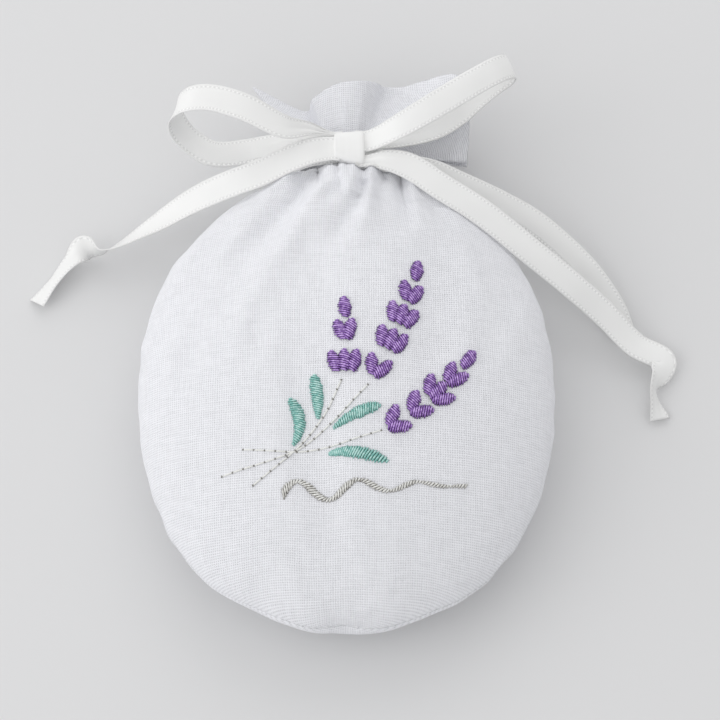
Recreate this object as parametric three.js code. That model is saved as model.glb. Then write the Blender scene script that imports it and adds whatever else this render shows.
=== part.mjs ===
// Lavender sachet: a round-bottomed linen bag of dried lavender, gathered at the neck, tied with
// a satin ribbon bow and worked on the front with three lavender sprigs.
// It lies on its back: +X to the right, +Y from the bottom seam to the frill, +Z up from the table.
// Lengths are in millimetres. The bag's own zero is the middle of its widest line, on the table.
import * as THREE from "three";

// Linen bag
const BAG_HALF_WIDTH = 45;
const BAG_LOWER_LENGTH = 53.5; // from the widest line to the bottom seam
const SHOULDER_LENGTH = 52.8; // from the widest line to the tie
const FRONT_CROWN = 17; // height of the front panel above the seam
const BACK_BULGE = 14; // depth of the back panel below the seam, before the table flattens it
const SEAM_HEIGHT = 12;
const SEAM_GAP = 0.9;
const CLOTH = 0.5;
const CLEARANCE = 0.3;

// Gathered neck and frill
const NECK_HALF_WIDTH = 11;
const NECK_HALF_DEPTH = 5;
const PLEAT_DEPTH = 1.1;
const PLEAT_COUNT = 4;
const PLEAT_REACH = 24; // how far the gathers run down from the tie
const TIE_PLEAT_DEPTH = 0.4;
const TIE_WIDTH = 6.4;
const BUNCH_REACH = 8; // below the tie the folds close up over this length and fill the neck
const BUNCH_GAP = 0.3; // what is left open there on each side of the seam
const LAYER_LIFT = 0.35; // keeps the two layers of the frill apart

// Filling
const POUCH_CLOTH = 0.4;
const POUCH_EASE = 0.6; // slack between one layer and the next
const POUCH_LENGTH = 49; // from the widest line to the pouch's mouth
const POUCH_MOUTH_HALF_WIDTH = 4;
const POUCH_MOUTH_HALF_DEPTH = 2.5;
const FILL_LENGTH = 45;

// Sewing and ribbon
const SEAM_THREAD_RADIUS = 0.2;
const SEAM_END = 2; // the seam's stitches stop this far below the tie
const RIBBON_WIDTH = 6;
const RIBBON_THICKNESS = 0.4;
const BAND_WIDTH = 4.4; // the ribbon bunches up round the neck
const TIE_CLEARANCE = 0.4;
const KNOT_OFFSET = 0.5;
const KNOT_WIDTH = 7;
const KNOT_LENGTH = 7.8;
const KNOT_RISE = 0.8; // the wrap sits this far above the middle of the tie
const KNOT_DEPTH = 3.8;
const KNOT_ROUND = 1.2;
const KNOT_BEVEL = 0.5;
const KNOT_GAP = 0.5; // room for a ribbon to turn beside the knot

// Needlework
const STITCH_GAP = 0.15;
const STITCH_RISE = 0.8; // height of the padded satin stitch
const STITCH_EDGE = 0.2; // height of its rim
const PETAL_LENGTH = 4.8;
const PETAL_WIDTH = 3;
const FLORET_HUB = 0.25; // middle of a floret ahead of its foot, in petal lengths
const LEAF_WIDTH = 2.9;
const STEM_WIDTH = 0.5;
const STEM_RISE = 0.3;
const SCROLL_WIDTH = 1.6;
const SCROLL_LENGTH = 38;
const SCROLL_HEIGHT = 2.6; // from the scroll's middle line to its first crest
const SCROLL_WAVES = 3;
const SCROLL_START = [-13, -27.2];
const SCROLL_CLIMB = 2.6; // rise of the middle line along the scroll

// Shape of the bag's outline and of its crown, from the widest line down and up
const LOWER_POWER = 2.1;
const SHOULDER_OUTLINE = { power: 2.3, root: 0.62 };
const SHOULDER_CROWN = { power: 2.2, root: 0.8 };

// Facets
const PANEL_COLUMNS = 24;
const LOWER_ROWS = 8;
const SHOULDER_ROWS = 7;
const TIE_ROWS = 2;
const FRILL_ROWS = 5;
const POUCH_COLUMNS = 28;
const POUCH_LOWER_ROWS = 6;
const POUCH_UPPER_ROWS = 6;
const BAND_COLUMNS = 36;
const RIBBON_STEPS = 3; // between one station of a ribbon and the next
const SEAM_STEPS = 56;
const FLORET_COLUMNS = 24;
const LEAF_ROWS = 10;
const LEAF_COLUMNS = 4;
const STEM_ROWS = 18;
const SCROLL_ROWS = 48;

const TIE_TOP = SHOULDER_LENGTH + TIE_WIDTH;
const TIE_MIDDLE = SHOULDER_LENGTH + TIE_WIDTH / 2;

const MATERIALS = {
  linen: new THREE.MeshStandardMaterial({ color: 0xeef0f5, roughness: 0.9, metalness: 0 }),
  muslin: new THREE.MeshStandardMaterial({ color: 0xece6d8, roughness: 0.95, metalness: 0 }),
  buds: new THREE.MeshStandardMaterial({ color: 0x6f6486, roughness: 1, metalness: 0 }),
  sewing_thread: new THREE.MeshStandardMaterial({ color: 0xf2f2f2, roughness: 0.7, metalness: 0 }),
  satin: new THREE.MeshStandardMaterial({ color: 0xf5f3ee, roughness: 0.35, metalness: 0 }),
  purple_thread: new THREE.MeshStandardMaterial({ color: 0x8255a5, roughness: 0.45, metalness: 0 }),
  teal_thread: new THREE.MeshStandardMaterial({ color: 0x6eb4aa, roughness: 0.45, metalness: 0 }),
  silver_thread: new THREE.MeshStandardMaterial({ color: 0xbebeb4, roughness: 0.45, metalness: 0 }),
};

const sachet = new THREE.Group();

function addPiece(name, material, geometry) {
  const piece = new THREE.Mesh(geometry, MATERIALS[material]);
  piece.name = name;
  sachet.add(piece);
}

// Triangles of a grid of rows and columns whose first or last row may be a single point and whose
// columns may close on themselves. A face looks along (next row) x (next column).
function gridTriangles({ rows, columns, wrap = false, firstPoint = false, lastPoint = false }) {
  const across = wrap ? columns : columns + 1;
  const starts = [];
  let count = 0;
  for (let row = 0; row <= rows; row++) {
    starts.push(count);
    count += (row === 0 && firstPoint) || (row === rows && lastPoint) ? 1 : across;
  }
  const index = (row, column) => {
    const single = (row === 0 && firstPoint) || (row === rows && lastPoint);
    return starts[row] + (single ? 0 : column % across);
  };
  const triangles = [];
  for (let row = 0; row < rows; row++) {
    for (let column = 0; column < columns; column++) {
      const a = index(row, column);
      const b = index(row, column + 1);
      const d = index(row + 1, column);
      const e = index(row + 1, column + 1);
      if (a !== b) triangles.push([a, d, b]);
      if (d !== e) triangles.push([b, d, e]);
    }
  }
  return triangles;
}

function meshGeometry(points, triangles) {
  const geometry = new THREE.BufferGeometry();
  geometry.setFromPoints(points);
  geometry.setIndex(triangles.flat());
  geometry.computeVertexNormals();
  return geometry;
}

// A closed solid between an outer and an inner surface that share one grid, with walls along
// every open edge.
function thicken(outer, inner, triangles) {
  const shift = outer.length;
  const faces = [...triangles];
  const edges = new Map();
  for (const [a, b, c] of triangles) {
    faces.push([a + shift, c + shift, b + shift]);
    for (const [p, q] of [[a, b], [b, c], [c, a]]) edges.set(`${p} ${q}`, [p, q]);
  }
  for (const [p, q] of edges.values()) {
    if (edges.has(`${q} ${p}`)) continue;
    faces.push([q, p, p + shift], [q, p + shift, q + shift]);
  }
  return meshGeometry([...outer, ...inner], faces);
}

// Half size of the bag at height y along it: full at the widest line, drawn in by a power curve
// to nothing at the bottom and to the neck at the shoulder.
function taper(y, lower, upper, full, neck, shape) {
  if (y <= 0) {
    const share = Math.min(1, -y / lower);
    return full * (1 - share ** LOWER_POWER) ** (1 / LOWER_POWER);
  }
  const share = Math.min(1, y / upper);
  return neck + (full - neck) * (1 - share ** shape.power) ** shape.root;
}

// The bag's skin, or a layer inside it at the depth given by inset.
function layer(inset, upper, neckHalfWidth, neckHalfDepth) {
  const lower = BAG_LOWER_LENGTH - inset;
  return {
    inset,
    lower,
    upper,
    halfWidth: (y) =>
      taper(y, lower, upper, BAG_HALF_WIDTH - inset, neckHalfWidth, SHOULDER_OUTLINE),
    crown: (y) => taper(y, lower, upper, FRONT_CROWN - inset, neckHalfDepth, SHOULDER_CROWN),
    bulge: (y) => taper(y, lower, upper, BACK_BULGE - inset, neckHalfDepth, SHOULDER_CROWN),
  };
}

// Inside of the panels: one cloth behind the skin, but in the tied neck the folds fill the bag.
function liningLayer() {
  const lining = layer(CLOTH, SHOULDER_LENGTH, NECK_HALF_WIDTH - CLOTH, NECK_HALF_DEPTH - CLOTH);
  const bunched = (depth) => (y) => {
    const share = THREE.MathUtils.smoothstep(y, SHOULDER_LENGTH - BUNCH_REACH, SHOULDER_LENGTH);
    return THREE.MathUtils.lerp(depth(y), BUNCH_GAP, share);
  };
  return { ...lining, crown: bunched(lining.crown), bulge: bunched(lining.bulge) };
}

// Depth of the gathers, which are deepest just below the tie and fade down the bag.
function pleatDepth(y) {
  if (y >= SHOULDER_LENGTH) return TIE_PLEAT_DEPTH;
  const share = Math.max(0, 1 - (SHOULDER_LENGTH - y) / PLEAT_REACH);
  const near = THREE.MathUtils.smoothstep(SHOULDER_LENGTH - y, 0, TIE_WIDTH / 2);
  return THREE.MathUtils.lerp(TIE_PLEAT_DEPTH, PLEAT_DEPTH, near) * share * share;
}

function pleatWave(turn) {
  return Math.cos(2 * PLEAT_COUNT * turn);
}

// A point of a layer at height y, where turn is the angle round the section from +X over the front.
// The side is 1 on the gathered front panel, -1 on the back panel and 0 on a layer inside them.
// The back lies flat where it would reach below the table.
function layerPoint(skin, y, turn, side = 0) {
  const sine = Math.sin(turn);
  const depth = sine > 0 ? skin.crown(y) : skin.bulge(y);
  const pleats = side ? pleatDepth(y) * pleatWave(turn) : 0;
  const z = SEAM_HEIGHT + (side * SEAM_GAP) / 2 + (depth + pleats) * sine;
  return new THREE.Vector3(skin.halfWidth(y) * Math.cos(turn), y, Math.max(z, skin.inset));
}

const SKIN = layer(0, SHOULDER_LENGTH, NECK_HALF_WIDTH, NECK_HALF_DEPTH);

// Height of the front panel over a point of the table, or minus infinity beside the bag.
function frontHeight(x, y) {
  if (y <= -BAG_LOWER_LENGTH || y >= SHOULDER_LENGTH) return -Infinity;
  const cosine = x / SKIN.halfWidth(y);
  if (Math.abs(cosine) >= 1) return -Infinity;
  return layerPoint(SKIN, y, Math.acos(cosine), 1).z;
}

// Heights of a layer's rows, from just above the bottom point to the top of its shoulder.
function rowHeights(skin, lowerRows, upperRows) {
  const heights = [];
  const quarter = Math.PI / 2;
  for (let i = 1; i <= lowerRows; i++) {
    heights.push(-skin.lower * Math.cos((quarter * i) / lowerRows));
  }
  for (let i = 1; i <= upperRows; i++) {
    heights.push(skin.upper * Math.sin((quarter * i) / upperRows));
  }
  return heights;
}

// Hem of the frill: position across the panel, then spread, rise above the tie and lift above the
// seam. The front stands up in one rounded lobe with a fallen fold on each side.
const FRONT_HEM = [
  [0, 27, 1.3, -5.5],
  [0.12, 27.5, 11, -1],
  [0.22, 25, 19.2, 3.4],
  [0.3, 17, 19, 1],
  [0.34, 12.8, 18.4, -0.4],
  [0.38, 8.8, 18.4, -0.6],
  [0.41, 6.8, 17.4, 3],
  [0.45, 3.9, 16.2, 6.2],
  [0.52, -2, 15.2, 6.8],
  [0.59, -7.8, 12.9, 3.7],
  [0.65, -9.2, 12.6, -1.5],
  [0.8, -21.5, 18.3, -0.5],
  [1, -14, 12, -4],
];
const BACK_HEM = [
  [0, -14, 12, -5.2],
  [0.25, -17, 16, -8.5],
  [0.5, 2, 17, -9],
  [0.75, 23, 15, -8.5],
  [1, 27, 1.3, -6.7],
];

function hemCurve(keys) {
  const curve = new THREE.CubicInterpolant(
    keys.map((key) => key[0]),
    keys.flatMap((key) => key.slice(1)),
    3,
  );
  return (across) => {
    const [spread, rise, lift] = curve.evaluate(across);
    return new THREE.Vector3(spread, TIE_TOP + rise, SEAM_HEIGHT + lift);
  };
}

// A panel's frill: straight threads from the tie to the hem, which leave the tie level.
function frillSurface(hem, firstTurn, side) {
  return (across, share) => {
    const tie = layerPoint(SKIN, TIE_TOP, firstTurn + Math.PI * across, side);
    const end = hem(across);
    const point = tie.clone().lerp(end, share);
    point.z = THREE.MathUtils.lerp(tie.z, end.z, THREE.MathUtils.smoothstep(share, 0, 1));
    point.z += side * LAYER_LIFT * Math.min(1, 3 * share);
    return point;
  };
}

// The point one cloth inside a surface of two parameters, along its normal.
function behind(surface, across, share) {
  const step = 0.01;
  const along = surface(across, share).sub(surface(across, share - step));
  const over = surface(Math.min(1, across + step), share);
  over.sub(surface(Math.max(0, across - step), share));
  const normal = along.cross(over).normalize();
  return surface(across, share).addScaledVector(normal, -CLOTH);
}

// One linen panel, from the bottom point over the belly and through the tie to the hem.
function linenPanel(name, firstTurn, side, hemKeys) {
  const frill = frillSurface(hemCurve(hemKeys), firstTurn, side);
  const surfaces = [SKIN, liningLayer()].map((skin) => {
    const points = [layerPoint(skin, -skin.lower, firstTurn, side)];
    const heights = rowHeights(skin, LOWER_ROWS, SHOULDER_ROWS);
    for (let i = 1; i <= TIE_ROWS; i++) heights.push(SHOULDER_LENGTH + (TIE_WIDTH * i) / TIE_ROWS);
    for (const y of heights) {
      for (let column = 0; column <= PANEL_COLUMNS; column++) {
        points.push(layerPoint(skin, y, firstTurn + (Math.PI * column) / PANEL_COLUMNS, side));
      }
    }
    return points;
  });
  for (let row = 1; row <= FRILL_ROWS; row++) {
    for (let column = 0; column <= PANEL_COLUMNS; column++) {
      const across = column / PANEL_COLUMNS;
      const share = row / FRILL_ROWS;
      surfaces[0].push(frill(across, share));
      surfaces[1].push(behind(frill, across, share));
    }
  }
  const rows = LOWER_ROWS + SHOULDER_ROWS + TIE_ROWS + FRILL_ROWS;
  const triangles = gridTriangles({ rows, columns: PANEL_COLUMNS, firstPoint: true });
  addPiece(name, "linen", thicken(surfaces[0], surfaces[1], triangles));
}

// Rows of a layer closed all round, with a point at the bottom and, on a closed layer, at the top.
function roundLayer(skin, closedTop) {
  const points = [layerPoint(skin, -skin.lower, 0)];
  const heights = rowHeights(skin, POUCH_LOWER_ROWS, POUCH_UPPER_ROWS);
  const top = heights.pop();
  for (const y of heights) pushRing(points, skin, y);
  if (closedTop) points.push(layerPoint(skin, top, 0));
  else pushRing(points, skin, top);
  return points;
}

function pushRing(points, skin, y) {
  for (let column = 0; column < POUCH_COLUMNS; column++) {
    points.push(layerPoint(skin, y, (2 * Math.PI * column) / POUCH_COLUMNS));
  }
}

function filling() {
  const outside = CLOTH + POUCH_EASE;
  const inside = outside + POUCH_CLOTH;
  const [outer, inner] = [outside, inside].map((inset) =>
    layer(
      inset,
      POUCH_LENGTH,
      POUCH_MOUTH_HALF_WIDTH - (inset - outside),
      POUCH_MOUTH_HALF_DEPTH - (inset - outside),
    ),
  );
  const buds = layer(inside + POUCH_EASE, FILL_LENGTH, 0, 0);
  const rows = POUCH_LOWER_ROWS + POUCH_UPPER_ROWS;
  const grid = { rows, columns: POUCH_COLUMNS, wrap: true, firstPoint: true };
  const pouch = thicken(roundLayer(outer, false), roundLayer(inner, false), gridTriangles(grid));
  addPiece("inner_pouch", "muslin", pouch);
  const heap = meshGeometry(roundLayer(buds, true), gridTriangles({ ...grid, lastPoint: true }));
  addPiece("lavender_fill", "buds", heap);
}

// Stitches of the curved seam, lying between the edges of the two panels from one side of the
// neck round the bottom to the other.
function seamThread() {
  const points = [];
  const heights = rowHeights(SKIN, LOWER_ROWS, SHOULDER_ROWS);
  heights[heights.length - 1] = SHOULDER_LENGTH - SEAM_END;
  const place = (y, side) =>
    new THREE.Vector3(side * (SKIN.halfWidth(y) - CLOTH / 2), y, SEAM_HEIGHT);
  for (const y of [...heights].reverse()) points.push(place(y, 1));
  points.push(new THREE.Vector3(0, CLOTH / 2 - BAG_LOWER_LENGTH, SEAM_HEIGHT));
  for (const y of heights) points.push(place(y, -1));
  const section = new THREE.Shape();
  section.absarc(0, 0, SEAM_THREAD_RADIUS, 0, 2 * Math.PI);
  const geometry = new THREE.ExtrudeGeometry(section, {
    steps: SEAM_STEPS,
    curveSegments: 2,
    bevelEnabled: false,
    extrudePath: new THREE.CatmullRomCurve3(points),
  });
  addPiece("seam_thread", "sewing_thread", geometry);
}

const BAND_MIDDLE = TIE_TOP - CLEARANCE - BAND_WIDTH / 2;
const BAND_HALF_DEPTH = NECK_HALF_DEPTH + SEAM_GAP / 2 + TIE_PLEAT_DEPTH + TIE_CLEARANCE;
const BAND_TOP = SEAM_HEIGHT + BAND_HALF_DEPTH + RIBBON_THICKNESS;
const KNOT_HEIGHT = BAND_TOP + CLEARANCE + KNOT_DEPTH / 2;

// Turn of ribbon round the gathered neck.
function neckBand() {
  const ring = (extra) => {
    const points = [];
    for (const edge of [-1, 1]) {
      for (let column = 0; column < BAND_COLUMNS; column++) {
        const turn = (2 * Math.PI * column) / BAND_COLUMNS;
        const x = (NECK_HALF_WIDTH + TIE_CLEARANCE + extra) * Math.cos(turn);
        const z = SEAM_HEIGHT + (BAND_HALF_DEPTH + extra) * Math.sin(turn);
        points.push(new THREE.Vector3(x, BAND_MIDDLE + (edge * BAND_WIDTH) / 2, z));
      }
    }
    return points;
  };
  const triangles = gridTriangles({ rows: 1, columns: BAND_COLUMNS, wrap: true });
  addPiece("neck_band", "satin", thicken(ring(RIBBON_THICKNESS), ring(0), triangles));
}

// The wrap over the middle of the bow: a rounded bar across the band.
function bowKnot() {
  const halfWidth = KNOT_WIDTH / 2 - KNOT_BEVEL;
  const halfDepth = KNOT_DEPTH / 2 - KNOT_BEVEL;
  const round = KNOT_ROUND - KNOT_BEVEL;
  const section = new THREE.Shape();
  section.absarc(halfWidth - round, halfDepth - round, round, 0, Math.PI / 2);
  section.absarc(round - halfWidth, halfDepth - round, round, Math.PI / 2, Math.PI);
  section.absarc(round - halfWidth, round - halfDepth, round, Math.PI, 1.5 * Math.PI);
  section.absarc(halfWidth - round, round - halfDepth, round, 1.5 * Math.PI, 2 * Math.PI);
  const geometry = new THREE.ExtrudeGeometry(section, {
    depth: KNOT_LENGTH - 2 * KNOT_BEVEL,
    curveSegments: 3,
    bevelSize: KNOT_BEVEL,
    bevelThickness: KNOT_BEVEL,
    bevelSegments: 2,
  });
  geometry.translate(0, 0, KNOT_BEVEL - KNOT_LENGTH / 2);
  geometry.rotateX(-Math.PI / 2);
  geometry.translate(KNOT_OFFSET, TIE_MIDDLE + KNOT_RISE, KNOT_HEIGHT);
  addPiece("bow_knot", "satin", geometry);
}

// Ribbons. A station gives the ribbon's middle, from the side of the knot where the ribbon starts,
// the direction from its far edge to its near edge, and how much of its width is open there.
const LOOP_NEAR_LEFT = [-2, -5.5, -1.5];
const LOOP_NEAR_RIGHT = [2.4, -5.2, -1.5];

// Loops: across, along and up from the knot's side.
const LEFT_LOOP = [
  { at: [0, 4, 1], near: [0, -6, 0], open: 0.15 },
  { at: [-4.5, 4.4, 2.6], near: [-0.5, -6, 0], open: 0.52 },
  { at: [-10.3, 3.4, 5.4], near: [-1.2, -5.7, -0.8], open: 0.9 },
  { at: [-19, 7.1, 7.6], near: LOOP_NEAR_LEFT },
  { at: [-27, 9.8, 7.1], near: LOOP_NEAR_LEFT },
  { at: [-32, 10.2, 5.1], near: LOOP_NEAR_LEFT },
  { at: [-34.7, 10, 0.6], near: LOOP_NEAR_LEFT },
  { at: [-33.9, 8.4, -4.4], near: LOOP_NEAR_LEFT },
  { at: [-31.5, 6.6, -7.1], near: [-1, -5.8, -1] },
  { at: [-26.6, 4.4, -8.8], near: [0, -5.8, -1] },
  { at: [-19.8, 4.6, -8.5], near: [0.5, -5.8, -0.8] },
  { at: [-13.5, 5, -6.3], near: [0.8, -5.8, -0.5], open: 0.9 },
  { at: [-5, 4.8, -2.2], near: [0.5, -6, 0], open: 0.5 },
  { at: [0, 4.2, -0.4], near: [0, -6, 0], open: 0.15 },
];
const RIGHT_LOOP = [
  { at: [0, 2.3, 1], near: [0, -6, 0], open: 0.88 },
  { at: [7.4, 4, 5.1], near: [1.6, -5.6, -0.8], open: 0.95 },
  { at: [16.2, 8.7, 7.1], near: LOOP_NEAR_RIGHT },
  { at: [24.7, 14.1, 7.6], near: LOOP_NEAR_RIGHT },
  { at: [29.7, 17.5, 6.6], near: LOOP_NEAR_RIGHT },
  { at: [32.1, 19.4, 4.1], near: LOOP_NEAR_RIGHT },
  { at: [31.1, 19.2, 1.1], near: LOOP_NEAR_RIGHT },
  { at: [28.2, 18, -0.9], near: LOOP_NEAR_RIGHT },
  { at: [24.3, 15.6, -3.2], near: LOOP_NEAR_RIGHT },
  { at: [20.4, 12.5, -4.6], near: LOOP_NEAR_RIGHT },
  { at: [15.2, 8.7, -4.2], near: [2.2, -5.4, -1] },
  { at: [7.5, 4.6, -1.9], near: [1.6, -5.6, -0.5], open: 0.8 },
  { at: [0, 2.4, -0.4], near: [0, -6, 0], open: 0.55 },
];

// Tails: across and along from the knot's side, then the height as a share of the knot's height,
// because a tail comes down from the knot to the table.
const LEFT_TAIL = [
  { at: [-0.6, 0.3, 1.04], near: [0.2, -5.9, -0.6], open: 0.95 },
  { at: [-5, -0.8, 1.07], near: [0.5, -5.8, -0.8] },
  { at: [-10.3, -3, 1.06], near: [1, -5.6, -1.2] },
  { at: [-15.6, -5.3, 1.01], near: [1.3, -5.3, -2] },
  { at: [-20.9, -6.6, 0.93], near: [1.3, -5.3, -2.2] },
  { at: [-26.4, -7.7, 0.8], near: [1.2, -5.4, -1.6] },
  { at: [-31.6, -8.95, 0.65], near: [0.9, -5.6, -0.4] },
  { at: [-37.1, -10.85, 0.48], near: [0.5, -5.5, 1] },
  { at: [-40.8, -12.25, 0.38], near: [0.2, -5, 2.4] },
  { at: [-51, -16.2, 0.2], near: [-0.4, -2.4, 5.4] },
  { at: [-55.4, -15.2, 0.17], near: [-1, 4.4, 3.8] },
  { at: [-59, -18.2, 0.13], near: [-2, 3.4, -3] },
  { at: [-62.7, -23, 0.08], near: [-3, 1.6, -3.4], open: 0.75 },
  { at: [-65.9, -27.7, 0.06], near: [-4, 2, -2], open: 0.75 },
];
const RIGHT_TAIL = [
  { at: [0, -2.5, 1.03], near: [0, -6, 0], open: 0.5 },
  { at: [4.1, -2.6, 1.06], near: [-1.5, -5.6, -0.6], open: 0.82 },
  { at: [9, -4, 1.06], near: [-2.6, -5.2, -1] },
  { at: [16.2, -8.7, 1.02], near: [-3.2, -4.9, -1.2] },
  { at: [26.1, -14.7, 0.91], near: [-3.4, -4.7, -1.2] },
  { at: [36, -21.8, 0.74], near: [-3.6, -4.6, -1] },
  { at: [44.9, -27.9, 0.55], near: [-3.7, -4.6, -0.8] },
  { at: [52.8, -33.5, 0.35], near: [-3.8, -4.6, -0.4] },
  { at: [59.3, -39.1, 0.19], near: [-4.2, -4.2, 0.6] },
  { at: [63.8, -43.7, 0.14], near: [-5.6, -2.2, 1] },
  { at: [63.2, -49, 0.13], near: [-2, -0.6, 5.6], open: 0.8 },
  { at: [64.3, -55.9, 0.05], near: [-5, 1.6, 0.6], open: 0.75 },
];
// Second strand of the right tail, seen behind the first from the neck to its twist.
const RIGHT_TAIL_BACK = [
  { at: [0, -2.5, 0.96], near: [0, -6, 0], open: 0.5 },
  { at: [7.5, -2.5, 0.94], near: [-1.5, -5.6, -0.6], open: 0.8 },
  { at: [14.6, -3.9, 0.89], near: [-2.2, -5.4, -0.8] },
  { at: [20.6, -6, 0.81], near: [-2.6, -5.3, -0.8] },
  { at: [29.8, -8.9, 0.64], near: [-2.6, -5.4, -0.6] },
  { at: [37, -11.9, 0.5], near: [-3, -5.1, -0.4] },
  { at: [43.7, -16.5, 0.36], near: [-3.6, -4.8, -0.2] },
  { at: [49.6, -22, 0.24], near: [-4.4, -4, 0] },
  { at: [54.8, -29.5, 0.12], near: [-5, -3.2, 0] },
  { at: [57.6, -35.4, 0.045], near: [-5, -3.2, 0], open: 0.8 },
];

// A flat strip through the stations, lying over the bag and the table where it meets them.
function ribbon(name, side, stations, heightOf) {
  const start = new THREE.Vector3(
    KNOT_OFFSET + side * (KNOT_WIDTH / 2 + KNOT_GAP),
    TIE_MIDDLE,
    KNOT_HEIGHT,
  );
  const middles = stations.map(
    ({ at }) => new THREE.Vector3(start.x + at[0], start.y + at[1], heightOf(at[2], start.z)),
  );
  const spans = stations.map(({ near, open = 1 }) =>
    new THREE.Vector3(...near).setLength((open * RIBBON_WIDTH) / 2),
  );
  const path = new THREE.CatmullRomCurve3(middles);
  const span = new THREE.CatmullRomCurve3(spans);
  const rows = (stations.length - 1) * RIBBON_STEPS;
  const top = [];
  const bottom = [];
  for (let row = 0; row <= rows; row++) {
    const middle = path.getPoint(row / rows);
    const tangent = path.getTangent(row / rows);
    const half = span.getPoint(row / rows);
    const width = half.length();
    half.addScaledVector(tangent, -half.dot(tangent)).setLength(width);
    const normal = half.clone().cross(tangent).setLength(RIBBON_THICKNESS / 2);
    for (const edge of [1, -1]) {
      const point = middle.clone().addScaledVector(half, edge);
      const lowest = point.z - Math.abs(normal.z);
      const ground = Math.max(0, frontHeight(point.x, point.y) + CLEARANCE);
      point.z += Math.max(0, ground - lowest);
      top.push(point.clone().add(normal));
      bottom.push(point.clone().sub(normal));
    }
  }
  addPiece(name, "satin", thicken(top, bottom, gridTriangles({ rows, columns: 1 })));
}

function bowRibbons() {
  const rise = (up, knotHeight) => knotHeight + up;
  const share = (part, knotHeight) => knotHeight * part;
  ribbon("left_loop", -1, LEFT_LOOP, rise);
  ribbon("right_loop", 1, RIGHT_LOOP, rise);
  ribbon("left_tail", -1, LEFT_TAIL, share);
  ribbon("right_tail", 1, RIGHT_TAIL, share);
  ribbon("right_tail_back", 1, RIGHT_TAIL_BACK, share);
}

// A stitched pad on the front panel, given by points in plan, each with its height above the linen.
function stitchedPad(name, material, plan, triangles) {
  const seat = ([x, y]) => frontHeight(x, y) + STITCH_GAP;
  const top = plan.map((point) => new THREE.Vector3(point[0], point[1], seat(point) + point[2]));
  const bottom = plan.map((point) => new THREE.Vector3(point[0], point[1], seat(point)));
  addPiece(name, material, thicken(top, bottom, triangles));
}

// Distance from the origin along a ray to the far side of a petal's ellipse, or nothing where the
// ray misses it.
function petalReach(ray, petal) {
  const sizes = new THREE.Vector2(PETAL_LENGTH / 2, PETAL_WIDTH / 2);
  const zero = new THREE.Vector2();
  const from = petal.middle.clone().negate().rotateAround(zero, -petal.turn).divide(sizes);
  const along = ray.clone().rotateAround(zero, -petal.turn).divide(sizes);
  const a = along.lengthSq();
  const b = from.dot(along);
  const root = b * b - a * (from.lengthSq() - 1);
  return root > 0 ? (Math.sqrt(root) - b) / a : 0;
}

// A floret of one to three petals that stand side by side on its foot and fan out.
function floret(name, foot, heading, [count, splay, spacing]) {
  const ahead = new THREE.Vector2(Math.cos(heading), Math.sin(heading));
  const aside = new THREE.Vector2(ahead.y, -ahead.x);
  const hub = ahead.clone().multiplyScalar(FLORET_HUB * PETAL_LENGTH);
  const petals = [];
  for (let i = 0; i < count; i++) {
    const place = i - (count - 1) / 2;
    const turn = heading - place * THREE.MathUtils.degToRad(splay);
    const middle = new THREE.Vector2(Math.cos(turn), Math.sin(turn)).multiplyScalar(PETAL_LENGTH / 2);
    middle.addScaledVector(aside, place * spacing).sub(hub);
    petals.push({ middle, turn });
  }
  hub.add(foot);
  const rings = [
    [0.55, 0.85],
    [1, STITCH_EDGE / STITCH_RISE],
  ];
  const plan = [[hub.x, hub.y, STITCH_RISE]];
  for (const [reach, rise] of rings) {
    for (let column = 0; column < FLORET_COLUMNS; column++) {
      const turn = (2 * Math.PI * column) / FLORET_COLUMNS;
      const ray = new THREE.Vector2(Math.cos(turn), Math.sin(turn));
      const radius = reach * Math.max(...petals.map((petal) => petalReach(ray, petal)));
      plan.push([hub.x + radius * ray.x, hub.y + radius * ray.y, rise * STITCH_RISE]);
    }
  }
  const grid = { rows: rings.length, columns: FLORET_COLUMNS, wrap: true, firstPoint: true };
  stitchedPad(name, "purple_thread", plan, gridTriangles(grid));
}

// Sprigs: a curve from the foot of the bud at the tip to the foot of the lowest floret. Each floret
// has its petals, the angle from one petal to the next and the distance between their feet.
const SPRIGS = [
  {
    name: "left_sprig",
    curve: [[-0.3, 12.1], [-0.2, 7.8], [-0.5, -0.5]],
    florets: [[1, 0, 0], [2, 32, 0.8], [3, 14, 1.6]],
  },
  {
    name: "middle_sprig",
    curve: [[14.6, 21.9], [12, 11], [5.6, -1.6]],
    florets: [[1, 0, 0], [2, 32, 1.1], [3, 15, 1.5], [3, 15, 1.5], [2, 44, 0.9]],
  },
  {
    name: "right_sprig",
    curve: [[24.5, 1.4], [18.6, -6.4], [8.8, -12.9]],
    florets: [[1, 0, 0], [2, 38, 0.8], [3, 32, 0.9], [2, 60, 0.5], [2, 60, 0.5]],
  },
];

function planCurve(points) {
  return new THREE.QuadraticBezierCurve(...points.map((point) => new THREE.Vector2(...point)));
}

function sprig({ name, curve, florets }) {
  const axis = planCurve(curve);
  florets.forEach((petals, i) => {
    const share = i / (florets.length - 1);
    const heading = axis.getTangent(share).negate().angle();
    floret(`${name}_floret_${i + 1}`, axis.getPoint(share), heading, petals);
  });
}

// A strip of stitches along a curve in plan, with its half width and crown as functions of the
// share along it.
function stitchedStrip(name, material, curve, rows, columns, halfWidthAt, riseAt) {
  const plan = [];
  for (let row = 0; row <= rows; row++) {
    const share = row / rows;
    const middle = curve.getPoint(share);
    const tangent = curve.getTangent(share);
    for (let column = 0; column <= columns; column++) {
      const over = 1 - (2 * column) / columns;
      const offset = over * halfWidthAt(share);
      const crown = (riseAt(share) - STITCH_EDGE) * (1 - over * over);
      const x = middle.x - tangent.y * offset;
      const y = middle.y + tangent.x * offset;
      plan.push([x, y, STITCH_EDGE + crown]);
    }
  }
  stitchedPad(name, material, plan, gridTriangles({ rows, columns }).map(([a, b, c]) => [a, c, b]));
}

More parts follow.
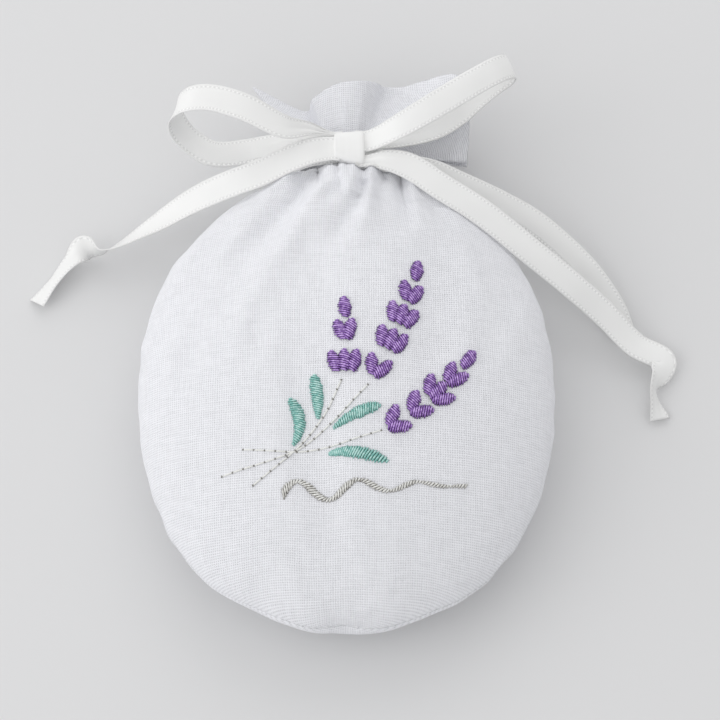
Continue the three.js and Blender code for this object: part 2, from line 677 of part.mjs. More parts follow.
// Leaves: foot, bend and tip of the midrib.
const LEAVES = [
  [[-10.9, -16.6], [-8.3, -11.8], [-11.6, -6.6]],
  [[-5.9, -10.8], [-5.9, -6.3], [-6.6, -1.2]],
  [[-2.5, -13.1], [1.8, -9.6], [7.1, -8.5]],
  [[-3.4, -18.7], [0.9, -17.6], [8.6, -20.5]],
];
const LEAF_TIP_SHARE = 0.3; // width kept at the two ends of a leaf
const LEAF_SWELL = 1.6; // above 1 the leaf is widest past its middle
const LEAF_ROUND = 0.45; // below 1 its ends are rounded

function leaves() {
  LEAVES.forEach((points, i) => {
    const midrib = planCurve(points);
    const half = (share) => {
      const arch = Math.max(0, Math.sin(Math.PI * share ** LEAF_SWELL));
      return (LEAF_WIDTH / 2) * (LEAF_TIP_SHARE + (1 - LEAF_TIP_SHARE) * arch ** LEAF_ROUND);
    };
    const rise = () => STITCH_RISE;
    stitchedStrip(`leaf_${i + 1}`, "teal_thread", midrib, LEAF_ROWS, LEAF_COLUMNS, half, rise);
  });
}

// Stems: from the cut end to the foot of the sprig. Each later stem passes over the earlier ones
// where they cross.
const STEM_CROSSING = [-10.9, -18.3];
const STEM_CROSSING_REACH = 4;
const STEMS = [
  { name: "right_stem", points: [[-21.5, -17.4], STEM_CROSSING, [-2.3, -17], [7.4, -13.9]] },
  { name: "middle_stem", points: [[-25.9, -22.7], STEM_CROSSING, [-2.8, -11.8], [4.6, -3.8]] },
  { name: "left_stem", points: [[-19.3, -25.2], STEM_CROSSING, [-4.6, -10.4], [-1, -2.6]] },
];

function stems() {
  STEMS.forEach(({ name, points }, layerNumber) => {
    const curve = new THREE.SplineCurve(points.map((p) => new THREE.Vector2(...p)));
    const crossing = new THREE.Vector2(...STEM_CROSSING);
    const plan = [];
    const lifts = [];
    for (let row = 0; row <= STEM_ROWS; row++) {
      const middle = curve.getPoint(row / STEM_ROWS);
      const tangent = curve.getTangent(row / STEM_ROWS);
      const near = 1 - middle.distanceTo(crossing) / STEM_CROSSING_REACH;
      for (const over of [1, -1]) {
        const x = middle.x - (over * tangent.y * STEM_WIDTH) / 2;
        const y = middle.y + (over * tangent.x * STEM_WIDTH) / 2;
        plan.push([x, y]);
        lifts.push(layerNumber * (STEM_RISE + STITCH_GAP) * Math.min(1, Math.max(0, 2 * near)));
      }
    }
    const seats = plan.map(([x, y], i) => frontHeight(x, y) + STITCH_GAP + lifts[i]);
    const bottom = plan.map(([x, y], i) => new THREE.Vector3(x, y, seats[i]));
    const top = plan.map(([x, y], i) => new THREE.Vector3(x, y, seats[i] + STEM_RISE));
    const triangles = gridTriangles({ rows: STEM_ROWS, columns: 1 }).map(([a, b, c]) => [a, c, b]);
    addPiece(name, "silver_thread", thicken(top, bottom, triangles));
  });
}

// A plain waving scroll below the sprigs, swelling on each stroke and tapering to the right.
class ScrollCurve extends THREE.Curve {
  getPoint(share, target = new THREE.Vector2()) {
    const wave = Math.sin(2 * Math.PI * SCROLL_WAVES * share);
    const x = SCROLL_START[0] + SCROLL_LENGTH * share;
    const y = SCROLL_START[1] + SCROLL_CLIMB * share;
    return target.set(x, y + SCROLL_HEIGHT * wave * (1 - share));
  }
}

function scroll() {
  const half = (share) => {
    const stroke = Math.abs(Math.cos(2 * Math.PI * SCROLL_WAVES * share));
    return (SCROLL_WIDTH / 2) * (0.5 + 0.5 * stroke) * (1 - 0.5 * share);
  };
  const rise = () => STITCH_RISE / 2;
  stitchedStrip("silver_scroll", "silver_thread", new ScrollCurve(), SCROLL_ROWS, 2, half, rise);
}

linenPanel("front_panel", 0, 1, FRONT_HEM);
linenPanel("back_panel", Math.PI, -1, BACK_HEM);
filling();
seamThread();
neckBand();
bowKnot();
bowRibbons();
SPRIGS.forEach(sprig);
leaves();
stems();
scroll();

// The part's zero is under the middle of the whole sachet, on the table.
const box = new THREE.Box3().setFromObject(sachet);
const middle = box.getCenter(new THREE.Vector3());
sachet.position.set(-middle.x, -middle.y, -box.min.z);

export default sachet;
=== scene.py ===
"""Lavender sachet: a linen bag of dried lavender, tied with a satin bow and worked with three sprigs.

Shapes are worked out in millimetres in the bag's own coordinates: x across, y from the widest line
to the frill, z up from the table. They are placed in the frame, in metres, when a mesh is made.
"""
import logging
import math
from dataclasses import dataclass, field
from enum import Enum
from typing import Any, Optional, Sequence, Union

import bmesh
import bpy
import numpy as np
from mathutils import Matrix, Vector


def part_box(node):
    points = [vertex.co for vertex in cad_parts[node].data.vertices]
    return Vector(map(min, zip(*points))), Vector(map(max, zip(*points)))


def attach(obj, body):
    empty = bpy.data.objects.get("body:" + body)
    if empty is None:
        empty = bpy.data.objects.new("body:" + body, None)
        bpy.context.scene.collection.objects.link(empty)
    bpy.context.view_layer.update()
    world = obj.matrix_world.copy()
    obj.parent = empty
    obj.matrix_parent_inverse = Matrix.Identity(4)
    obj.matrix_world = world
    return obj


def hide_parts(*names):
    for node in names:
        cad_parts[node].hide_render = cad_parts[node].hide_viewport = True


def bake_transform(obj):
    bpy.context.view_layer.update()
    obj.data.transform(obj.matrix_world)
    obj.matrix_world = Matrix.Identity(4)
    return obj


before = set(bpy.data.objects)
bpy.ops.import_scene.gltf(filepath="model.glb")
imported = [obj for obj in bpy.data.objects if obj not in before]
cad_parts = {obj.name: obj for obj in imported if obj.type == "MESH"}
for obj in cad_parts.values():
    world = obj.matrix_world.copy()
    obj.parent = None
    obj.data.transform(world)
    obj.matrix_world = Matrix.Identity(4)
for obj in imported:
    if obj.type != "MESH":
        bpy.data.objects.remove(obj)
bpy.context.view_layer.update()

LOG = logging.getLogger("sachet")
MM = 0.001
UV_NAME = "cloth"
TONE_NAME = "tone"
SMALL = 1e-6
MERGE_GAP = 0.01
FAR_BELOW = -1000.0
UP = np.array([0.0, 0.0, 1.0])


def smoothstep(value: Any, low: float, high: float) -> Any:
    """Ease from 0 at low to 1 at high: 3 s^2 - 2 s^3 of the clamped share s."""
    share = np.clip((value - low) / (high - low), 0.0, 1.0)
    return share * share * (3.0 - 2.0 * share)


def bell(value: Any, reach: float) -> Any:
    """Bell curve that falls from 1 at 0 to 1/e at its reach."""
    return np.exp(-((value / reach) ** 2))


def lerp(start: Any, end: Any, share: Any) -> Any:
    """Straight mix of two values."""
    return start + (end - start) * share


def unit(vectors: np.ndarray) -> np.ndarray:
    """Vectors along the last axis, each made one long."""
    return vectors / np.maximum(np.linalg.norm(vectors, axis=-1, keepdims=True), 1e-9)


def arc_lengths(points: np.ndarray, axis: int) -> np.ndarray:
    """Distance along one axis of a grid of points, from its first point.

    Args:
        points: Grid of points.
        axis: Axis to measure along.

    Returns:
        The distance at each point.
    """
    steps = np.linalg.norm(np.diff(points, axis=axis), axis=-1)
    shape = list(steps.shape)
    shape[axis] = 1
    return np.concatenate([np.zeros(shape), np.cumsum(steps, axis=axis)], axis=axis)


def at_lengths(line: np.ndarray, lengths: np.ndarray) -> np.ndarray:
    """Points of a line at lengths along it."""
    along = arc_lengths(line, 0)
    return np.stack([np.interp(lengths, along, part) for part in line.T], axis=-1)


def join(*parts: Any) -> np.ndarray:
    """Coordinates whose shapes fit together, as the last axis of one array."""
    return np.stack(np.broadcast_arrays(*parts), axis=-1)


def full_turn(count: int) -> np.ndarray:
    """Even angles round a full turn, from 0."""
    return 2.0 * math.pi * np.arange(count) / count


def wrapped(rings: np.ndarray) -> np.ndarray:
    """Rings with their first column once more at the end."""
    return np.concatenate([rings, rings[:, :1]], axis=1)


def smooth(grid: np.ndarray, times: int) -> np.ndarray:
    """Mix each point of a grid with its neighbours some times; its columns close on themselves.

    Args:
        grid: Rows x columns of vectors.
        times: How often.

    Returns:
        The smoothed grid.
    """
    for _ in range(times):
        grid = 0.5 * grid + 0.25 * (np.roll(grid, 1, axis=1) + np.roll(grid, -1, axis=1))
        padded = np.concatenate([grid[:1], grid, grid[-1:]])
        grid = 0.5 * grid + 0.25 * (padded[:-2] + padded[2:])
    return grid


def irregular_wave(angle: np.ndarray, counts: Sequence[int], seed: int) -> np.ndarray:
    """Uneven ripple: a sum of cosines of the given counts with seeded phases and sizes.

    Args:
        angle: Angle in radians at each point.
        counts: Waves per full turn of each cosine.
        seed: Seed of the phases and sizes.

    Returns:
        Ripple of about -1 to 1 at each point.
    """
    random = np.random.default_rng(seed)
    least, most = 0.5, 1.0
    total = np.zeros_like(angle)
    for count in counts:
        size = random.uniform(least, most)
        total = total + size * np.cos(count * angle + random.uniform(0.0, 2.0 * math.pi))
    return total / (0.5 * (least + most) * math.sqrt(2.0 * len(counts)))


def catmull_rom(points: np.ndarray, steps: int) -> np.ndarray:
    """Centripetal Catmull-Rom curve: a cubic per span whose slopes come from the neighbours.

    Args:
        points: Stations, count x 3.
        steps: Steps per span.

    Returns:
        Points on the curve, (count - 1) * steps + 1 of them.
    """
    before = 2.0 * points[0] - points[1]
    after = 2.0 * points[-1] - points[-2]
    chain = np.vstack([before, points, after])
    gaps = np.sqrt(np.linalg.norm(np.diff(chain, axis=0), axis=1))[:, None]
    p0, p1, p2, p3 = chain[:-3], chain[1:-2], chain[2:-1], chain[3:]
    least = 1e-4
    d1 = np.where(gaps[1:-1] < least, 1.0, gaps[1:-1])
    d0 = np.where(gaps[:-2] < least, d1, gaps[:-2])
    d2 = np.where(gaps[2:] < least, d1, gaps[2:])
    slope_in = d1 * ((p1 - p0) / d0 - (p2 - p0) / (d0 + d1) + (p2 - p1) / d1)
    slope_out = d1 * ((p2 - p1) / d1 - (p3 - p1) / (d1 + d2) + (p3 - p2) / d2)
    share = (np.arange(steps) / steps)[None, :, None]
    cubic = 2.0 * p1 - 2.0 * p2 + slope_in + slope_out
    square = -3.0 * p1 + 3.0 * p2 - 2.0 * slope_in - slope_out
    spans = ((cubic[:, None] * share + square[:, None]) * share + slope_in[:, None]) * share
    return np.vstack([(spans + p1[:, None]).reshape(-1, points.shape[1]), points[-1:]])


def bezier(points: np.ndarray, share: np.ndarray) -> tuple[np.ndarray, np.ndarray]:
    """Quadratic Bezier curve through foot, bend and tip.

    Args:
        points: The three control points, 3 x 2.
        share: Shares along the curve.

    Returns:
        Points and unit tangents at the shares.
    """
    s = share[:, None]
    place = (1.0 - s) ** 2 * points[0] + 2.0 * s * (1.0 - s) * points[1] + s * s * points[2]
    slope = 2.0 * (1.0 - s) * (points[1] - points[0]) + 2.0 * s * (points[2] - points[1])
    return place, unit(slope)


# Meshes


@dataclass
class Patch:
    """One or more like grids of points that become part of a mesh.

    A face looks along (next row) x (next column).

    Attributes:
        points: Copies x rows x columns x 3, in millimetres.
        uv: Copies x rows x columns x 2 in metres, with one more column where the grid is closed.
        tone: Tone of each point, copies x rows x columns, or one number for all. On thread it also carries
            the painted shade of stitch ends, padding and holes; on ribbon it is the open share that sets
            painted shade near the knot.
        closed: Whether the columns close on themselves.
        capped: Whether a face closes the first and the last row.
    """

    points: np.ndarray
    uv: np.ndarray
    tone: Union[float, np.ndarray] = 1.0
    closed: bool = False
    capped: bool = False

    def corners(self) -> tuple[np.ndarray, np.ndarray]:
        """Corner indices of one copy's faces, into its points and into its uv.

        Returns:
            Two arrays of faces x 4.
        """
        rows, columns = self.points.shape[1:3]
        across = columns if self.closed else columns - 1
        row, column = np.meshgrid(np.arange(rows - 1), np.arange(across), indexing="ij")
        row, column = row.ravel(), column.ravel()
        corner_row = np.stack([row, row + 1, row + 1, row], axis=1)
        corner_column = np.stack([column, column, column + 1, column + 1], axis=1)
        points = corner_row * columns + corner_column % columns
        return points, corner_row * self.uv.shape[2] + corner_column


def place(points: np.ndarray) -> np.ndarray:
    """Bag millimetres to metres in the frame."""
    return (np.asarray(points, float) + FRAME_SHIFT) * MM


def make_piece(name: str, patches: Sequence[Patch], material: bpy.types.Material,
               merge: bool = False) -> bpy.types.Object:
    """One object from grids of points.

    Args:
        name: Name of the piece.
        patches: Its grids.
        material: Its finish.
        merge: Whether points that coincide become one, as at a pole.

    Returns:
        The object, at the origin, with smooth faces, a uv map and a tone attribute.
    """
    points, faces, uvs, tones = [], [], [], []
    count = 0
    for patch in patches:
        copies, rows, columns = patch.points.shape[:3]
        corner, corner_uv = patch.corners()
        first = count + np.arange(copies)[:, None] * rows * columns
        flat_uv = patch.uv.reshape(copies, -1, 2)
        faces.extend((first[:, :, None] + corner[None]).reshape(-1, 4).tolist())
        uvs.append(flat_uv[:, corner_uv].reshape(-1, 2))
        if patch.capped:
            ring = np.arange(columns)
            last = (rows - 1) * columns + ring[::-1]
            faces.extend((first + ring).tolist())
            uvs.append(patch.uv[:, 0, :columns].reshape(-1, 2))
            faces.extend((first + last).tolist())
            uvs.append(patch.uv[:, -1, :columns][:, ::-1].reshape(-1, 2))
        points.append(patch.points.reshape(-1, 3))
        tones.append(np.broadcast_to(patch.tone, patch.points.shape[:3]).ravel())
        count += copies * rows * columns
    mesh = bpy.data.meshes.new(name)
    mesh.from_pydata(place(np.vstack(points)).tolist(), [], faces)
    layer = mesh.uv_layers.new(name=UV_NAME)
    layer.data.foreach_set("uv", np.vstack(uvs).astype(np.float32).ravel())
    tone = mesh.attributes.new(TONE_NAME, "FLOAT", "POINT")
    tone.data.foreach_set("value", np.concatenate(tones).astype(np.float32))
    if merge:
        work = bmesh.new()
        work.from_mesh(mesh)
        bmesh.ops.remove_doubles(work, verts=work.verts, dist=MERGE_GAP * MM)
        work.to_mesh(mesh)
        work.free()
    mesh.polygons.foreach_set("use_smooth", np.ones(len(mesh.polygons), bool))
    mesh.update()
    mesh.materials.append(material)
    piece = bpy.data.objects.new(name, mesh)
    bpy.context.scene.collection.objects.link(piece)
    LOG.info("%s: %d faces", name, len(mesh.polygons))
    return piece


def add_thickness(piece: bpy.types.Object, thickness: float) -> None:
    """Solidify a sheet inwards by a thickness in millimetres.

    Args:
        piece: The sheet.
        thickness: Its thickness.
    """
    solidify = piece.modifiers.new("cloth", "SOLIDIFY")
    solidify.thickness = thickness * MM
    solidify.offset = -1.0


def tubes(line: np.ndarray, aside: np.ndarray, radius: Any, along: np.ndarray, tone: Any,
          sides: int) -> Patch:
    """Tubes of thread round lines of points: line + radius * (aside cos t + up sin t).

    Args:
        line: Middle of each ring, copies x rings x 3.
        aside: Level unit vector across the line there.
        radius: Radius of each ring, or one for all.
        along: Length of thread at each ring, in millimetres.
        tone: Shade of each ring, or one for all.
        sides: Sides of a tube.

    Returns:
        Closed and capped tubes, whose uv is length along and share of a turn.
    """
    turn = full_turn(sides)[:, None]
    ring = aside[:, :, None] * np.cos(turn) + UP * np.sin(turn)
    points = line[:, :, None] + np.asarray(radius)[..., None, None] * ring
    around = np.linspace(0.0, 1.0, sides + 1)
    uv = join(along[..., None] * MM, around)
    return Patch(points, uv, np.asarray(tone)[..., None], closed=True, capped=True)


def sew_on(piece: bpy.types.Object, node: str) -> None:
    """Let a piece ride on the bag in place of a node, which is hidden.

    Args:
        piece: The piece.
        node: The node that it stands for.
    """
    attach(piece, "bag")
    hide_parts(node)


# Finishes


class Wire:
    """A value socket of a shader, with arithmetic that adds Math nodes."""

    def __init__(self, graph: "Graph", socket: bpy.types.NodeSocket) -> None:
        """Wrap a socket of a graph."""
        self.graph = graph
        self.socket = socket

    def math(self, operation: str, *values: Any) -> "Wire":
        """The result of a Math node on the given values."""
        return self.graph.wire("ShaderNodeMath", {"operation": operation}, dict(enumerate(values)))

    def __add__(self, other: Any) -> "Wire":
        """Sum."""
        return self.math("ADD", self, other)

    def __sub__(self, other: Any) -> "Wire":
        """Difference."""
        return self.math("SUBTRACT", self, other)

    def __rsub__(self, other: Any) -> "Wire":
        """Difference from a number."""
        return self.math("SUBTRACT", other, self)

    def __mul__(self, other: Any) -> "Wire":
        """Product."""
        return self.math("MULTIPLY", self, other)

    __radd__ = __add__
    __rmul__ = __mul__

    def __abs__(self) -> "Wire":
        """Size without sign."""
        return self.math("ABSOLUTE", self)

    def sine(self) -> "Wire":
        """Sine of an angle in radians."""
        return self.math("SINE", self)

    def cosine(self) -> "Wire":
        """Cosine of an angle in radians."""
        return self.math("COSINE", self)

    def larger(self, other: Any) -> "Wire":
        """The larger of two values."""
        return self.math("MAXIMUM", self, other)

    def ramp(self, low: float, high: float) -> "Wire":
        """0 below low and 1 above high, eased between; high may lie below low.

        Args:
            low: Value that gives 0.
            high: Value that gives 1.

        Returns:
            The eased share.
        """
        settings = {"interpolation_type": "SMOOTHSTEP"}
        values = {"Value": self, "From Min": low, "From Max": high}
        return self.graph.wire("ShaderNodeMapRange", settings, values)


class Graph:
    """A material's node tree, built from its wires.

    The Mix node has sockets of the same names for numbers and colours, so its colours go by number.
    """

    MIX_SHARE, MIX_START, MIX_END, MIX_RESULT = 0, 6, 7, 2

    def __init__(self, name: str) -> None:
        """Start an empty material."""
        self.material = bpy.data.materials.new(name)
        self.material.use_nodes = True
        self.tree = self.material.node_tree
        self.tree.nodes.clear()

    def node(self, kind: str, settings: Optional[dict] = None,
             values: Optional[dict] = None) -> bpy.types.Node:
        """Add a node.

        Args:
            kind: Its type.
            settings: Its own settings, set first.
            values: Values or wires of its sockets, by name or number.

        Returns:
            The node.
        """
        made = self.tree.nodes.new(kind)
        for key, value in (settings or {}).items():
            setattr(made, key, value)
        for key, value in (values or {}).items():
            if isinstance(value, Wire):
                self.tree.links.new(value.socket, made.inputs[key])
            else:
                made.inputs[key].default_value = value
        return made

    def wire(self, kind: str, settings: Optional[dict] = None, values: Optional[dict] = None,
             output: Union[int, str] = 0) -> Wire:
        """Add a node and take one of its outputs."""
        return Wire(self, self.node(kind, settings, values).outputs[output])

    def surface_uv(self) -> tuple[Wire, Wire]:
        """The two coordinates of the piece's own uv map, in metres.

        Returns:
            The first and the second coordinate.
        """
        uv = self.wire("ShaderNodeUVMap", {"uv_map": UV_NAME})
        split = self.node("ShaderNodeSeparateXYZ", None, {0: uv})
        return Wire(self, split.outputs[0]), Wire(self, split.outputs[1])

    def tone(self) -> Wire:
        """The piece's own shade attribute."""
        return self.wire("ShaderNodeAttribute", {"attribute_name": TONE_NAME}, None, "Fac")

    def noise(self, x: Any, y: Any, detail: float = 2.0) -> Wire:
        """Noise of about 0 to 1 whose features are one unit of x and y across.

        Args:
            x: First coordinate.
            y: Second coordinate.
            detail: Finer layers added.

        Returns:
            The noise.
        """
        spot = self.wire("ShaderNodeCombineXYZ", None, {0: x, 1: y})
        values = {"Vector": spot, "Scale": 1.0, "Detail": detail}
        return self.wire("ShaderNodeTexNoise", {"noise_dimensions": "2D"}, values)

    def mix(self, share: Any, start: Any, end: Any) -> Wire:
        """Mix of two colours."""
        values = {self.MIX_SHARE: share, self.MIX_START: start, self.MIX_END: end}
        return self.wire("ShaderNodeMix", {"data_type": "RGBA"}, values, self.MIX_RESULT)

    def bump(self, height: Wire, depth: float, strength: float = 1.0) -> Wire:
        """Normal of a height of 0 to 1 that is depth metres deep."""
        values = {"Strength": strength, "Distance": depth, "Height": height}
        return self.wire("ShaderNodeBump", None, values)

    def finish(self, values: dict) -> bpy.types.Material:
        """Close the material with a Principled shader that has the given sockets."""
        shader = self.wire("ShaderNodeBsdfPrincipled", None, values)
        self.node("ShaderNodeOutputMaterial", None, {"Surface": shader})
        return self.material


Colour = tuple[float, float, float, float]


def shade(colour: Colour, factor: float) -> Colour:
    """A colour made darker or lighter by a factor."""
    return tuple(min(1.0, part * factor) for part in colour[:3]) + (1.0,)


@dataclass(frozen=True)
class WovenFinish:
    """Plain-woven cloth: threads over and under, uneven along their length, with pinholes between.
    The pinholes are darkened with painted shade, the thick threads with a darker tone.

    Attributes:
        name: Name of the material.
        colour: Its colour.
        pitch: Distance between threads, in metres.
        slub: Share of darker tone on thick threads.
        hole: Share of painted shade in the pinholes.
        depth: Height of the threads, in metres.
        sway: Bends of a thread per metre.
        drift: Reach of the bends in warp and weft, in pitches.
        slub_run: Thick places per metre of thread.
        slub_span: Thick places per pitch across the threads.
        crimp: Share of a thread's height lost where it passes under.
        swell: Least height of a thread and its gain where it is thick.
        thick: Unevenness at which the darker tone starts and is full.
        hole_shade_and_slub: Factor of the darker colour, for the painted shade in the pinholes and the
            darker tone of thick threads.
    """

    name: str
    colour: Colour
    pitch: float
    slub: float
    hole: float
    depth: float
    sway: float = 90.0
    drift: tuple[float, float] = (0.9, -0.7)
    slub_run: float = 220.0
    slub_span: float = 0.9
    crimp: float = 0.25
    swell: tuple[float, float] = (0.6, 0.8)
    thick: tuple[float, float] = (-0.28, 0.32)
    hole_shade_and_slub: float = 0.45

    def build(self) -> bpy.types.Material:
        """Material whose height is the higher of warp and weft, each raised where it passes over."""
        graph = Graph(self.name)
        u, v = graph.surface_uv()
        sway = graph.noise(u * self.sway, v * self.sway)
        u = u + (sway - 0.5) * (self.drift[0] * self.pitch)
        v = v + (sway - 0.5) * (self.drift[1] * self.pitch)
        turn = math.pi / self.pitch
        across = self.slub_span / self.pitch
        base, gain = self.swell
        warp, weft = abs((u * turn).sine()), abs((v * turn).sine())
        over = (u * turn).cosine() * (v * turn).cosine()
        warp_slub = graph.noise(u * across, v * self.slub_run)
        weft_slub = graph.noise(u * self.slub_run, v * across)
        height = (warp * (1.0 - self.crimp + self.crimp * over) * (base + gain * warp_slub)).larger(
            weft * (1.0 - self.crimp - self.crimp * over) * (base + gain * weft_slub))
        # Painted shade in the pinholes between the threads, and a darker tone on thick threads.
        holes = (1.0 - warp) * (1.0 - weft)
        thread = (warp_slub + weft_slub - 1.0).ramp(*self.thick)
        hole_shade_and_slub = (holes * self.hole + thread * self.slub).larger(0.0)
        colour = graph.mix(hole_shade_and_slub, self.colour, shade(self.colour, self.hole_shade_and_slub))
        return graph.finish({
            "Base Color": colour,
            "Roughness": 0.85,
            "Sheen Weight": 0.12,
            "Sheen Roughness": 0.5,
            "Specular IOR Level": 0.25,
            "Normal": graph.bump(height, self.depth),
        })


@dataclass(frozen=True)
class SatinFinish:
    """Satin ribbon: fine cross ribs, creases where it is drawn in, and beads inside each edge with a
    painted highlight, and painted shade between them, in broad patches and where it is drawn in near the
    knot.

    Attributes:
        name: Name of the material.
        colour: Its colour.
        half_width: Half width of the ribbon, in metres.
        selvedge: Distance of the beads from the edge, in metres.
        dot_pitch: Distance between beads, in metres.
        line: Distances from the bead line at which it is gone and is full, in metres.
        ribs: Features per metre along and across of the ribs, and their detail.
        creases: The same for small creases.
        pulls: The same for creases along the ribbon where it is drawn in.
        painted_sheen_patches: The same for broad patches of painted shade, where the satin catches less
            light.
        depth: Height of the relief, in metres.
    """

    name: str
    colour: Colour
    half_width: float
    selvedge: float
    dot_pitch: float
    line: tuple[float, float] = (0.0003, 0.0001)
    ribs: tuple[float, float, float] = (5200.0, 260.0, 1.0)
    creases: tuple[float, float, float] = (320.0, 420.0, 2.0)
    pulls: tuple[float, float, float] = (70.0, 2400.0, 2.0)
    painted_sheen_patches: tuple[float, float, float] = (55.0, 90.0, 1.0)
    depth: float = 0.00012

    def build(self) -> bpy.types.Material:
        """Material on a uv of length along and distance across the ribbon."""
        graph = Graph(self.name)
        along, across = graph.surface_uv()
        drawn = 1.0 - graph.tone()
        inset = self.half_width - abs(across)
        line = abs(inset - self.selvedge).ramp(*self.line)
        dots = (along * (2.0 * math.pi / self.dot_pitch)).sine()
        bead = line * dots.ramp(-0.3, 0.5)
        gap = line * dots.ramp(-0.1, -0.7)
        ribs, crease, pull, broad = (
            graph.noise(along * run, across * span, detail)
            for run, span, detail in (self.ribs, self.creases, self.pulls, self.painted_sheen_patches))
        # Painted shade: broad patches where the satin catches less light, the drawn-in part near the knot
        # and the gaps between the beads.
        painted_shade = broad.ramp(0.4, 0.7) * 0.16 + drawn * 0.15 + gap * 0.35
        body = graph.mix(painted_shade, self.colour, shade(self.colour, 0.7))
        # Painted highlight on the beads.
        colour = graph.mix(bead * 0.9, body, shade(self.colour, 1.12))
        height = ribs * 0.1 + crease * 0.4 + bead * 0.9 + pull * drawn * 2.4
        return graph.finish({
            "Base Color": colour,
            "Roughness": crease * 0.12 + 0.3,
            "Sheen Weight": 0.15,
            "Sheen Roughness": 0.35,
            "Specular IOR Level": 0.6,
            "Normal": graph.bump(height, self.depth, 0.8),
        })


@dataclass(frozen=True)
class ThreadFinish:
    """Twisted thread: plies wind round it, its sides are darkened with painted shade, and each stitch has
    its own tone.
    The plies and speckles along it carry painted highlight and shade; the light colour is the painted
    highlight and the pale colour of the stems, the dark colour is the painted shade.
    """

    name: str
    colour: Colour
    light: Colour
    dark: Colour
    ply_pitch: float = 0.0006
    gloss: float = 0.32
    side: float = 0.8
    fibres: tuple[float, float] = (1400.0, 1.5)
    fibre_highlight_and_shade: float = 1.5
    ply_groove_shade: float = 0.05
    depth: float = 0.00006

    def build(self) -> bpy.types.Material:
        """Material on a uv of length along and share of a turn round the thread."""
        graph = Graph(self.name)
        along, turn = graph.surface_uv()
        ply = (along * (2.0 * math.pi / self.ply_pitch) + turn * (2.0 * math.pi)).sine()
        tone = graph.tone()
        fibre = graph.noise(along * self.fibres[0], turn * self.fibres[1])
        crown = (turn * (2.0 * math.pi)).sine()
        # Painted light along the thread: the plies and the speckles lighten and darken it, its sides get
        # painted shade, and its crest takes the light colour as a painted highlight.
        level = tone + ply * self.ply_groove_shade + (fibre - 0.5) * self.fibre_highlight_and_shade
        level = level - (1.0 - crown) * self.side
        lower = graph.mix(level.ramp(0.0, 0.55), self.dark, self.colour)
        colour = graph.mix(level.ramp(0.5, 1.1), lower, self.light)
        return graph.finish({
            "Base Color": colour,
            "Roughness": self.gloss,
            "Sheen Weight": 0.2,
            "Sheen Roughness": 0.4,
            "Specular IOR Level": 0.6,
            "Normal": graph.bump(ply * 0.5 + fibre * 0.5, self.depth, 0.7),
        })


@dataclass(frozen=True)
class HeapFinish:
    """Loose dried buds: ribbed grains in several shades of faded purple and straw."""

    name: str
    colour: Colour
    straw: Colour
    grain: float

    def build(self) -> bpy.types.Material:
        """Material of rounded cells whose shade and height change from bud to bud, with painted shade
        towards the cell edges, between the buds.
        """
        graph = Graph(self.name)
        spot = graph.wire("ShaderNodeTexCoord", None, None, "Object")
        cells = graph.node("ShaderNodeTexVoronoi", None, {"Vector": spot, "Scale": 1.0 / self.grain})
        distance = Wire(graph, cells.outputs["Distance"])
        split = graph.node("ShaderNodeSeparateColor", None, {0: Wire(graph, cells.outputs["Color"])})
        lot = Wire(graph, split.outputs[0])
        body = graph.mix(lot, shade(self.colour, 0.7), shade(self.colour, 1.3))
        mixed = graph.mix(lot.ramp(0.8, 0.9), body, self.straw)
        # Painted shade between the buds, towards each cell's edge.
        colour = graph.mix(distance.ramp(0.35, 0.7), mixed, shade(self.colour, 0.3))
        return graph.finish({
            "Base Color": colour,
            "Roughness": 0.9,
            "Normal": graph.bump(1.0 - distance, 0.5 * self.grain),
        })


@dataclass(frozen=True)
class TableFinish:
    """Smooth pale table top with a faint unevenness."""

    name: str
    colour: Colour

    def build(self) -> bpy.types.Material:
        """Material that fades very little from place to place."""
        graph = Graph(self.name)
        spot = graph.wire("ShaderNodeTexCoord", None, None, "Object")
        values = {"Vector": spot, "Scale": 6.0, "Detail": 3.0}
        cloud = graph.wire("ShaderNodeTexNoise", None, values)
        colour = graph.mix(cloud, shade(self.colour, 0.985), self.colour)
        return graph.finish({"Base Color": colour, "Roughness": 0.7, "Specular IOR Level": 0.2})


LINEN = WovenFinish("linen", (0.895, 0.9, 0.935, 1.0), 0.0005, 0.08, 0.52, 0.00017)
MUSLIN = WovenFinish("muslin", (0.82, 0.78, 0.69, 1.0), 0.0008, 0.12, 0.6, 0.0002)
SATIN = SatinFinish("satin", (0.88, 0.88, 0.87, 1.0), 0.003, 0.0006, 0.0009)
# Thread colours: the thread's colour, a lighter one for painted highlights and the pale stems, and a darker
# one for painted shade on sides, ends, padding and holes.
PURPLE = ThreadFinish("purple_thread", (0.24, 0.095, 0.43, 1.0), (0.6, 0.39, 0.82, 1.0),
                      (0.07, 0.02, 0.14, 1.0))
TEAL = ThreadFinish("teal_thread", (0.2, 0.5, 0.45, 1.0), (0.5, 0.77, 0.72, 1.0),
                    (0.12, 0.33, 0.29, 1.0), side=0.5)
SILVER = ThreadFinish("silver_thread", (0.6, 0.59, 0.56, 1.0), (0.84, 0.84, 0.81, 1.0),
                      (0.2, 0.19, 0.17, 1.0))
COTTON = ThreadFinish("cotton", (0.8, 0.81, 0.83, 1.0), (0.88, 0.88, 0.9, 1.0),
                      (0.55, 0.56, 0.58, 1.0), gloss=0.6)
BUDS = HeapFinish("dried_buds", (0.17, 0.13, 0.24, 1.0), (0.45, 0.36, 0.2, 1.0), 0.0028)
TABLE = TableFinish("table", (0.735, 0.735, 0.738, 1.0))


# Bag


class Side(Enum):
    """Panel of the bag, with the sign of its bulge."""

    FRONT = 1
    BACK = -1


class FoldShape(Enum):
    """Section of a fold: a rounded ridge or valley, a sharp crease, or a flat tongue with steep sides."""

    ROUND = 2
    CREASE = 1
    TONGUE = 6


